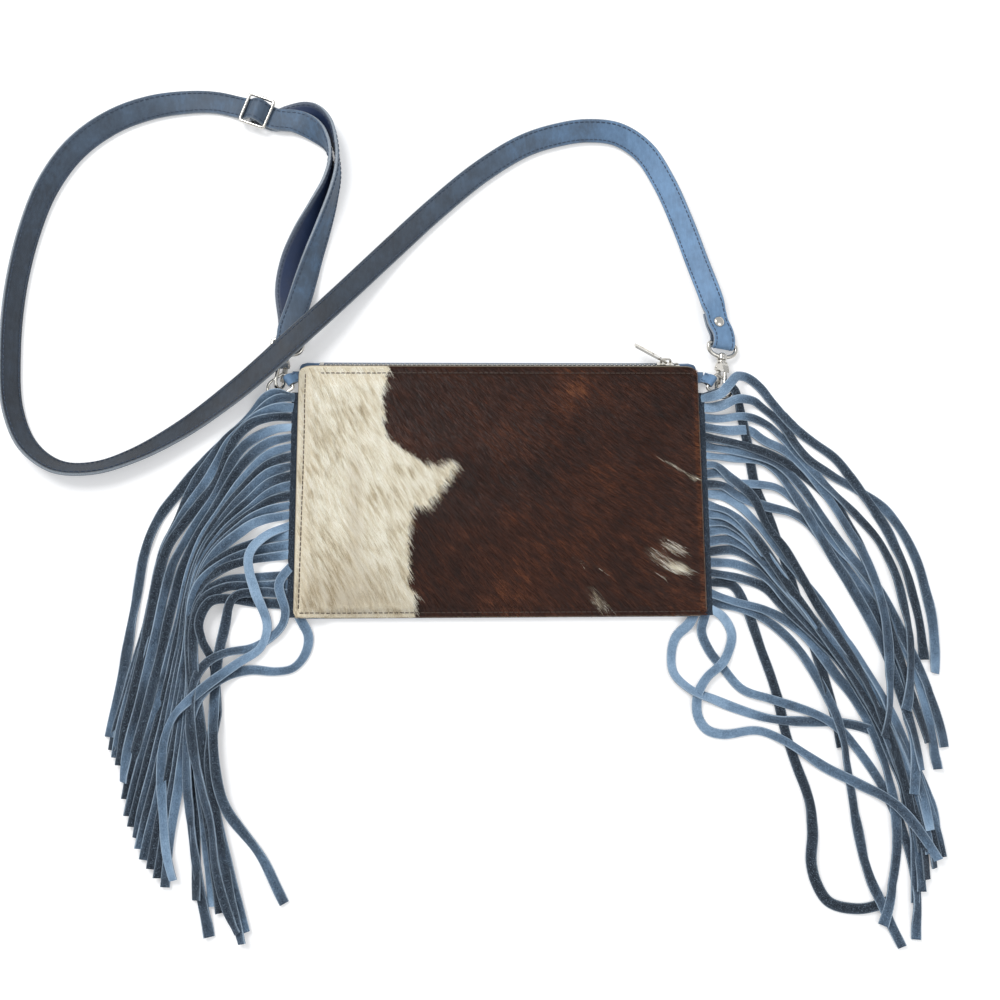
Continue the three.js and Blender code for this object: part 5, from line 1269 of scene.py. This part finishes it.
def strap_slide():
    axes = (np.array([*STRAP_SLIDE["centre"], 0.0]), *heading_axes(STRAP_SLIDE["heading"]))
    half, a = STRAP_WIDTH / 2 + 2.4, 8.4
    loop = drawn((-a, 2 - half), (-a, -half, 2 - a, -half, 6), (a - 2, -half), (a, -half, a, 2 - half, 6),
                 (a, half - 2), (a, half, a - 2, half, 6), (2 - a, half), (-a, half, -a, half - 2, 6))
    frame_wire = tube([(x, y, 6.4) for x, y in even_loop(loop, 0.7)], 1.1, True, 18)
    bar = [(0, -half, 6.4), (0, -half + 0.9, 5.7), (0, -half + 1.8, 5.1), (0, -half + 3, 5.0),
           (0, half - 3, 5.0),
           (0, half - 1.8, 5.1), (0, half - 0.9, 5.7), (0, half, 6.4)]
    metal("slide_metal", [placed(s, *axes) for s in (frame_wire, tube(bar, 1.05, False, 18))], "strap_slide",
          "bag")


def strap_rivet():
    distance = 14.5
    along, _, up = fold_frame(CLASPS["right"], distance)
    centre = np.array(CLASPS["right"]["bar"]) + along * distance
    profile = [(-3.4, 0.05), (-3.4, 2.7), (-3.2, 3.1), (-2.9, 3.35), (-2.75, 3.3), (-2.75, 1.2), (2.95, 1.2),
               (2.95, 3.4),
               (3.05, 3.55), (3.3, 3.5), (3.75, 2.95), (4.1, 2.3), (4.35, 1.4), (4.48, 0.6), (4.5, 0.05)]
    metal("rivet_metal", [placed(lathe(profile, 44), centre, up, along, np.cross(up, along))], "strap_rivet",
          "bag")


# Zip, in its own frame on the line between the panels' top edges

ZIP_TURN = ZIP_TILT - math.pi / 2
ZIP_AXES = (np.array([0, ZIP_Y, ZIP_Z]), np.array([1.0, 0, 0]),
            np.array([0, math.cos(ZIP_TURN), math.sin(ZIP_TURN)]),
            np.array([0, -math.sin(ZIP_TURN), math.cos(ZIP_TURN)]))


def tape_edge(x):
    return TAPE_INNER_EDGE + TAPE_PARTING * smooth((x - (SLIDER_X - 3)) / 4)


def zip_tape(side):
    name = "front" if side < 0 else "back"
    sewn = math.pi / 2 - ZIP_TILT
    dy, dz = -math.cos(sewn), -math.sin(sewn)
    rings = []
    for x in np.arange(-TAPE_HALF_LENGTH, TAPE_HALF_LENGTH + 0.01, 0.8):
        edge = tape_edge(x) * side
        bend = TAPE_BEND * side
        mid = drawn((edge, 0), (lerp(edge, bend, 0.2), 0), (lerp(edge, bend, 0.45), 0),
                    (lerp(edge, bend, 0.7), 0), (bend - 0.55 * side, 0),
                    (bend, 0, bend + dy * 0.55, dz * 0.55, 4))
        mid += [(bend + dy * k, dz * k) for k in (2, 4, 6, 8, 9)]
        pts = np.array(mid)
        d = np.gradient(pts, axis=0)
        d /= np.linalg.norm(d, axis=1)[:, None]
        n = np.stack([-d[:, 1], d[:, 0]], 1)
        up, low = pts + n * 0.28, pts - n * 0.28
        rings.append([np.array([x, y, z]) for y, z in [*up, *low[::-1]]])
    shells = Shells()
    shells.add(*placed(loft(rings), *ZIP_AXES))
    tape = shells.build(f"tape_{name}_cloth")
    face_outward(tape)
    dress(tape, tape_cloth, replaces=[f"zip_tape_{name}"])
    teeth = []
    x = TEETH_START_X + (TEETH_PITCH / 2 if side > 0 else 0)
    while x < TEETH_END_X:
        e = tape_edge(x)
        tooth = [(-0.46, e + 0.9), (0.46, e + 0.9), (0.5, e + 0.2), (0.42, e - 0.35), (0.6, e - 0.62),
                 (0.55, e - 0.95),
                 (-0.55, e - 0.95), (-0.6, e - 0.62), (-0.42, e - 0.35), (-0.5, e + 0.2)]
        teeth.append(placed(plate([(x + u, side * v) for u, v in tooth], -0.8, 0.8), *ZIP_AXES))
        x += TEETH_PITCH
    metal(f"teeth_{name}_metal", teeth, None, "bag", 0.12, aged_nickel)


def slider_outline(inset):
    half, narrow, wide = 5.5 - inset, 2.9 - inset, 3.5 - inset
    return drawn((-half, -narrow), (-half * 0.25, -narrow - 0.1), (half * 0.2, -wide, half * 0.75, -wide, 6),
                 (half, -wide, half, -wide * 0.72, 5), (half * 0.8, 0), (half, wide * 0.72),
                 (half, wide, half * 0.75, wide, 5), (half * 0.2, wide, -half * 0.25, narrow + 0.1, 6),
                 (-half, narrow))


def zip_slider():
    channel, top = 1.1, 1.7
    shells = [plate(slider_outline(0), channel, top), plate(slider_outline(0), -top, -channel)]
    rim = [(x, y) for x, y in slider_outline(0) if y > 2.4]
    inner = [(x, y) for x, y in slider_outline(0.45) if y > 1.9]
    for s in (1, -1):
        flange = [(x, y * s) for x, y in rim] + [(x, y * s) for x, y in reversed(inner)]
        shells += [plate(flange, 0.65, channel + 0.05), plate(flange, -channel - 0.05, -0.65)]
    shells.append(plate([(-1.4, 0), (2.2, -0.6), (4.0, -0.5), (4.0, 0.5), (2.2, 0.6)], -top + 0.1, top - 0.1))
    bridge = drawn((-3.6, top - 0.2), (-3.6, top + 2.2), (-3.4, top + 3.6, -1.6, top + 3.6, 6),
                   (1.6, top + 3.6), (3.4, top + 3.6, 3.6, top + 2.2, 6), (3.6, top - 0.2), (2.3, top - 0.2),
                   (2.3, top + 2.0), (1.6, top + 2.6), (-1.6, top + 2.6), (-2.3, top + 2.0),
                   (-2.3, top - 0.2))
    shells.append(turn_x(plate(bridge, -0.9, 0.9), 90))
    placed_shells = [placed(shifted(s, SLIDER_X, 0, 0), *ZIP_AXES) for s in shells]
    metal("slider_metal", placed_shells, "zip_slider", "slider", 0.18)


def zip_pull():
    eye, w, length, h = 2.5, 3.5, 23, 0.65
    shape = drawn((-0.6, -eye), (4.6, -eye), (6.4, -w, 8.2, -w, 6), (length - 1.6, -w),
                  (length, -w, length, 1.6 - w, 6), (length, w - 1.6), (length, w, length - 1.6, w, 6),
                  (8.2, w), (6.4, w, 4.6, eye, 6), (-0.6, eye))
    slot_hole = [(0.6, -1.3), (0.6, 1.3), (4.6, 1.3), (4.6, -1.3)]
    window = [(9, -w + 1.2), (9, w - 1.2), (length - 1.3, w - 1.2), (length - 1.3, -w + 1.2)]
    web = [(8.8, -2.5), (length - 1.1, -2.5), (length - 1.1, 2.5), (8.8, 2.5)]
    shells = [plate(shape, -h, h, [slot_hole, window]), plate(web, -h + 0.35, h - 0.35)]
    angle = 28 - 180
    moved = [placed(shifted(turn_y(s, angle), SLIDER_X, 0, 1.7 + 1.4), *ZIP_AXES) for s in shells]
    metal("pull_metal", moved, "zip_pull", "pull", 0.22)


def zip_stops():
    x0 = -TAPE_HALF_LENGTH + 0.7
    staple = [plate([(x0, -2.2), (x0 + 2.6, -2.2), (x0 + 2.6, 2.2), (x0, 2.2)], z, z + 0.8)
              for z in (0.6, -1.4)]
    web = plate([(x0 + 0.2, -0.4), (x0 + 2.4, -0.4), (x0 + 2.4, 0.4), (x0 + 0.2, 0.4)], -1.3, 1.3)
    metal("bottom_stop_metal", [placed(s, *ZIP_AXES) for s in [*staple, web]], "zip_bottom_stop", "bag", 0.2)
    x0 = TAPE_HALF_LENGTH - 1.9
    edge = tape_edge(x0)
    for side, name in ((-1, "front"), (1, "back")):
        a, b = edge - 0.95, edge + 1.1
        parts = []
        for z0, z1, y0, y1 in ((0.6, 1.4, a, b), (-1.4, -0.6, a, b), (-1.4, 1.4, a, edge - 0.3)):
            parts.append(plate([(x0, side * y0), (x0 + 2.6, side * y0), (x0 + 2.6, side * y1),
                                (x0, side * y1)], z0, z1))
        metal(f"top_stop_{name}_metal", [placed(s, *ZIP_AXES) for s in parts], f"zip_top_stop_{name}", "bag",
              0.15)


# Materials

def nickel_material(name, base, wear):
    g = Graph(name)
    p = g.place()
    cloud = g.noise(p, 260, 3, 0.6)
    fine = g.noise(p, 2600, 2, 0.5)
    scratch = g.noise(g.stretched(p, 0.5, (1, 9, 9)), 900, 2, 0.5)
    colour = g.mix(g.span(cloud, 0.45, 0.7, 0, wear), base, srgb(150, 138, 118))
    rough = g.add(g.span(cloud, 0.3, 0.8, 0.13, 0.3), g.times(fine, 0.06))
    height = g.add(g.times(scratch, 0.5), g.times(fine, 0.5))
    return g.finish(Base_Color=colour, Metallic=1.0, Roughness=rough, Normal=g.bump(height, 0.12, 0.00005))


def suede_material():
    g = Graph("blue_suede")
    p = g.place()
    tone, edge, face = g.attribute("tone"), g.attribute("edge"), g.attribute("face")
    strand = g.attribute("strand")
    nap = g.node("ShaderNodeCombineXYZ", {"X": g.times(g.attribute("run"), 1.0),
                                          "Y": g.times(g.attribute("across"), 1.6),
                                          "Z": g.times(strand, 7.3)}).outputs[0]
    patches = g.noise(nap, 0.045, 4, 0.7)
    streaks = g.noise(nap, 0.9, 4, 0.7)
    grain = g.noise(p, 5200, 3, 0.7)
    specks = g.noise(p, 2400, 2, 0.6)
    # The strands' tone carries their painted light and shade.
    lightness = g.add(g.times(tone, 0.7), g.span(patches, 0.3, 0.7, -0.04, 0.2))
    lightness = g.add(lightness, g.span(streaks, 0.3, 0.7, -0.1, 0.1))
    lightness = g.add(lightness, g.span(grain, 0.35, 0.7, -0.16, 0.18))
    top = g.ramp(lightness, (0.0, srgb(30, 36, 44)), (0.25, srgb(50, 62, 76)), (0.5, srgb(82, 104, 126)),
                 (0.78, srgb(120, 146, 172)), (1.0, srgb(156, 182, 206)))
    # Painted glints: small pale specks over the nap.
    nap_glints = g.mix(g.span(specks, 0.56, 0.7, 0, 0.55), top, srgb(160, 182, 204))
    cut_edge = g.mix(g.span(grain, 0.4, 0.65), srgb(128, 150, 172), srgb(196, 214, 228))
    colour = g.mix(g.times(edge, g.span(lightness, -0.1, 0.4, 0.35, 0.85)), nap_glints, cut_edge)
    under = g.ramp(g.add(g.times(streaks, 0.6), g.times(tone, 0.3)),
                   (0.1, srgb(28, 36, 50)), (0.5, srgb(48, 62, 84)), (0.9, srgb(80, 100, 126)))
    colour = g.mix(g.span(face, -0.9, -0.4, 1, 0), colour, under)
    height = g.add(g.times(grain, 0.6), g.times(streaks, 0.4))
    return g.finish(Base_Color=colour, Roughness=0.92, Normal=g.bump(height, 0.55, 0.0003), Sheen_Weight=0.35,
                    Sheen_Roughness=0.5, Sheen_Tint=srgb(190, 205, 225), Specular_IOR_Level=0.15)


def strap_material():
    g = Graph("strap_leather")
    p = g.place()
    tone, edge, face = g.attribute("tone"), g.attribute("edge"), g.attribute("face")
    grain = g.node("ShaderNodeTexVoronoi", {"Vector": p, "Scale": 1500.0, "Randomness": 1.0},
                   feature="DISTANCE_TO_EDGE").outputs[0]
    pores = g.noise(p, 3600, 3, 0.6)
    patches = g.noise(p, 60, 3, 0.6)
    creases = g.noise(g.stretched(p, 0.4, (1.0, 0.35, 1.0)), 420, 4, 0.65)
    # tone carries the painted light and shade along the strap.
    light = g.add(tone, g.span(patches, 0.3, 0.7, -0.08, 0.08))
    light = g.add(light, g.span(creases, 0.35, 0.7, -0.05, 0.05))
    top = g.ramp(light, (0.0, srgb(38, 44, 52)), (0.25, srgb(56, 66, 78)), (0.5, srgb(74, 90, 108)),
                 (0.75, srgb(92, 120, 150)), (1.0, srgb(116, 150, 186)))
    flesh = g.ramp(g.add(g.times(pores, 0.5), g.times(patches, 0.4)),
                   (0.2, srgb(18, 30, 54)), (0.5, srgb(26, 44, 76)), (0.8, srgb(44, 66, 104)))
    colour = g.mix(g.span(face, -0.9, -0.4, 1, 0), top, flesh)
    raw = g.mix(g.span(pores, 0.35, 0.65), srgb(112, 122, 134), srgb(176, 184, 190))
    colour = g.mix(g.times(edge, 0.85), colour, raw)
    height = g.add(g.times(g.span(grain, 0.0, 0.12), 0.6), g.times(creases, 0.5))
    rough = g.span(patches, 0.3, 0.7, 0.44, 0.6)
    return g.finish(Base_Color=colour, Roughness=rough, Normal=g.bump(height, 0.35, 0.0002),
                    Specular_IOR_Level=0.35,
                    Coat_Weight=0.06, Coat_Roughness=0.4)


def thread_material(name, dark, light):
    g = Graph(name)
    p = g.place()
    twist = g.wave(p, 900.0, 2.0)
    colour = g.mix(twist, dark, light)
    return g.finish(Base_Color=colour, Roughness=0.7, Normal=g.bump(twist, 0.4, 0.0001), Sheen_Weight=0.2)


def tape_material():
    g = Graph("zip_cloth")
    p = g.place()
    weft = g.wave(p, 420.0, 0.6, bands_direction="X")
    warp = g.wave(p, 300.0, 0.8, bands_direction="Y")
    weave = g.times(weft, warp)
    fuzz = g.noise(p, 3000, 3, 0.7)
    colour = g.mix(weave, srgb(70, 82, 98), srgb(122, 138, 158))
    colour = g.mix(g.span(fuzz, 0.4, 0.7, 0, 0.3), colour, srgb(146, 158, 172))
    height = g.add(weave, g.times(fuzz, 0.3))
    return g.finish(Base_Color=colour, Roughness=0.9, Normal=g.bump(height, 0.6, 0.0002), Sheen_Weight=0.2)


def hide_skin_material():
    """The short under-hair and skin between the longer hairs."""
    g = Graph("hide_under_hair")
    p = g.place()
    white = g.attribute("white")
    fibres = g.noise(g.stretched(p, math.radians(45), (0.35, 1.6, 1.0)), 2600, 3, 0.6)
    patches = g.noise(p, 34, 3, 0.6)
    brown = g.ramp(g.add(g.times(fibres, 0.5), g.times(patches, 0.5)),
                   (0.25, srgb(22, 11, 8)), (0.5, srgb(44, 23, 14)), (0.8, srgb(76, 42, 25)))
    cream = g.ramp(fibres, (0.25, srgb(186, 172, 146)), (0.6, srgb(224, 214, 190)),
                   (0.85, srgb(238, 230, 210)))
    colour = g.mix(white, brown, cream)
    rim = g.span(g.attribute("rim"), 0.15, 0.9, 1, 0)
    colour = g.mix(g.times(rim, 0.8), colour, g.mix(fibres, srgb(120, 108, 92), srgb(178, 166, 146)))
    return g.finish(Base_Color=colour, Roughness=0.8, Normal=g.bump(fibres, 0.6, 0.0003),
                    Specular_IOR_Level=0.2)


def hair_material(name, stops, sheen):
    g = Graph(name)
    p = g.place()
    tone, along = g.attribute("tone"), g.attribute("along")
    patches = g.noise(p, 26, 3, 0.55)
    mottle = g.noise(p, 120, 3, 0.6)
    # Painted sheen: a lighter, warmer patch on the brown hair low in the middle of the bag.
    painted_sheen_place = g.away_from(p, (0.002, -0.072, 0.012))
    painted_sheen = g.span(painted_sheen_place, 0.01, 0.06, 0.16, 0.0)
    gold_place = g.away_from(p, (0.047, 0.062, 0.013))
    gold = g.span(gold_place, 0.0, 0.028, 0.3, 0.0)
    right = g.axis(p, "X")
    redder = g.add(g.span(right, 0.03, 0.12, 0.0, 0.05), g.span(right, 0.1215, 0.1245, 0.0, 0.22))
    light = g.add(g.times(tone, 0.62), g.span(patches, 0.3, 0.72, -0.08, 0.1))
    light = g.add(light, g.span(mottle, 0.3, 0.7, -0.04, 0.05))
    if sheen == "brown":
        light = g.add(g.add(light, painted_sheen), g.add(gold, redder))
    # Painted shade at the roots: each hair lighter towards its tip.
    light = g.add(light, g.times(along, 0.06))
    colour = g.ramp(light, *stops)
    if sheen == "white":
        # Painted shade on the white hair: beige towards the left edge and the bottom, a patch at the lower
        # left and a narrow band down a fold of the hide.
        left = g.span(right, -0.125, -0.108, 0.22, 0.0)
        low = g.span(g.axis(p, "Y"), -0.078, -0.04, 0.2, 0.0)
        shade_lower_left_place = g.away_from(p, (-0.095, -0.062, 0.012))
        shade_lower_left = g.span(shade_lower_left_place, 0.004, 0.036, 0.34, 0.0)
        off_band = g.maths("ABSOLUTE", g.add(right, 0.0895), 0.0)
        north = g.axis(p, "Y")
        band = g.times(g.span(off_band, 0.0012, 0.0075, 0.3, 0.0), g.span(north, -0.052, -0.034, 0.0, 1.0))
        band = g.times(band, g.span(north, 0.01, 0.026, 1.0, 0.0))
        share = g.add(g.add(left, low, True), g.add(shade_lower_left, band, True), True)
        colour = g.mix(share, colour, srgb(176, 158, 130))
    return g.finish(Base_Color=colour, Roughness=0.42, Specular_IOR_Level=0.3, Sheen_Weight=0.08,
                    Coat_Weight=0.1, Coat_Roughness=0.35)


def back_material():
    g = Graph("back_suede")
    p = g.place()
    grain = g.noise(p, 4200, 3, 0.7)
    nap = g.noise(g.stretched(p, 0.3, (1, 0.4, 1)), 160, 4, 0.65)
    patches = g.noise(p, 22, 3, 0.6)
    light = g.add(g.times(nap, 0.5), g.times(patches, 0.45))
    light = g.add(light, g.span(grain, 0.3, 0.7, -0.08, 0.08))
    colour = g.ramp(light, (0.2, srgb(60, 75, 94)), (0.45, srgb(82, 102, 126)), (0.7, srgb(110, 134, 162)))
    rim = g.span(g.attribute("rim"), 0.2, 1.1, 1, 0)
    colour = g.mix(g.times(rim, 0.7), colour, g.mix(grain, srgb(110, 132, 158), srgb(160, 180, 204)))
    height = g.add(g.times(grain, 0.6), g.times(nap, 0.5))
    return g.finish(Base_Color=colour, Roughness=0.93, Normal=g.bump(height, 0.6, 0.0004), Sheen_Weight=0.3,
                    Sheen_Tint=srgb(180, 196, 220), Specular_IOR_Level=0.15)


nickel = nickel_material("nickel", srgb(214, 211, 204), 0.25)
aged_nickel = nickel_material("aged_nickel", srgb(186, 182, 172), 0.5)
suede = suede_material()
strap_leather = strap_material()
thread_blue = thread_material("thread_blue", srgb(34, 44, 60), srgb(66, 84, 108))
thread_brown = thread_material("thread_brown", srgb(40, 28, 22), srgb(86, 66, 50))
tape_cloth = tape_material()
skin = hide_skin_material()
brown_hair = hair_material("hair_brown", [(0.0, srgb(24, 12, 8)), (0.3, srgb(46, 23, 14)),
                                          (0.55, srgb(72, 37, 22)),
                                          (0.8, srgb(112, 62, 34)), (1.0, srgb(160, 100, 58))], "brown")
white_hair = hair_material("hair_white", [(0.0, srgb(158, 140, 110)), (0.17, srgb(200, 187, 158)),
                                          (0.34, srgb(235, 230, 211)),
                                          (0.6, srgb(246, 243, 230)), (1.0, srgb(252, 250, 240))], "white")
back_suede = back_material()

# Painted light and shade along the strap, by distance along it: the right end painted bright as if catching
# the light, the diagonal painted dark slate as shade.
STRAP_LIGHT_AND_SHADE = [
    (0, 0.95), (60, 0.95), (150, 0.9), (230, 0.62), (290, 0.42), (360, 0.25), (430, 0.1), (560, 0.06),
    (700, 0.12), (800, 0.3), (900, 0.45), (980, 0.5), (1060, 0.55), (1120, 0.5), (1500, 0.6),
]


# Everything in its place

def stitches_on_hide():
    threads = Shells()
    for (x0, y0), (x1, y1) in STITCH_LINES:
        length = math.hypot(x1 - x0, y1 - y0)
        ux, uy = (x1 - x0) / length, (y1 - y0) / length
        count = int(length / 3.2)
        for k in range(count):
            a = (x0 + ux * (k * 3.2 + 0.4), y0 + uy * (k * 3.2 + 0.4))
            b = (a[0] + ux * STITCH_LENGTH, a[1] + uy * STITCH_LENGTH)
            pa = (*a, float(hide_z(*a)) + 0.1)
            pb = (*b, float(hide_z(*b)) + 0.1)
            stitch(threads, pa, pb, (0, 0, 1), 0.3, 0.05)
    dress(threads.build("hide_thread"), thread_brown)


def build():
    front = panel("hide_front", FRONT_TOP_Y, 230, 140, hide_z, front_inner_z, {"white": whiteness})
    dress(front, skin, replaces=["front_panel"])
    brown = dress(hair("hide_hair_brown", 60000, False, 5), brown_hair)
    white = dress(hair("hide_hair_white", 24000, True, 6), white_hair)
    stitches_on_hide()
    back = panel("back_suede_panel", BACK_TOP_Y, 150, 90, back_inside_z, back_outside_z)
    dress(back, back_suede, replaces=["back_panel"])
    for side in (-1, 1):
        zip_tape(side)
        ring_tab(side)
    zip_slider()
    zip_pull()
    zip_stops()
    strap()
    strap_slide()
    strap_rivet()
    for name in ("right", "left"):
        clasp(name)
        ring(name)
    for side, name in ((1, "right"), (-1, "left")):
        piece = fringe(side, f"fringe_{name}_suede", f"fringe_{name}")


camera()
studio()
build()
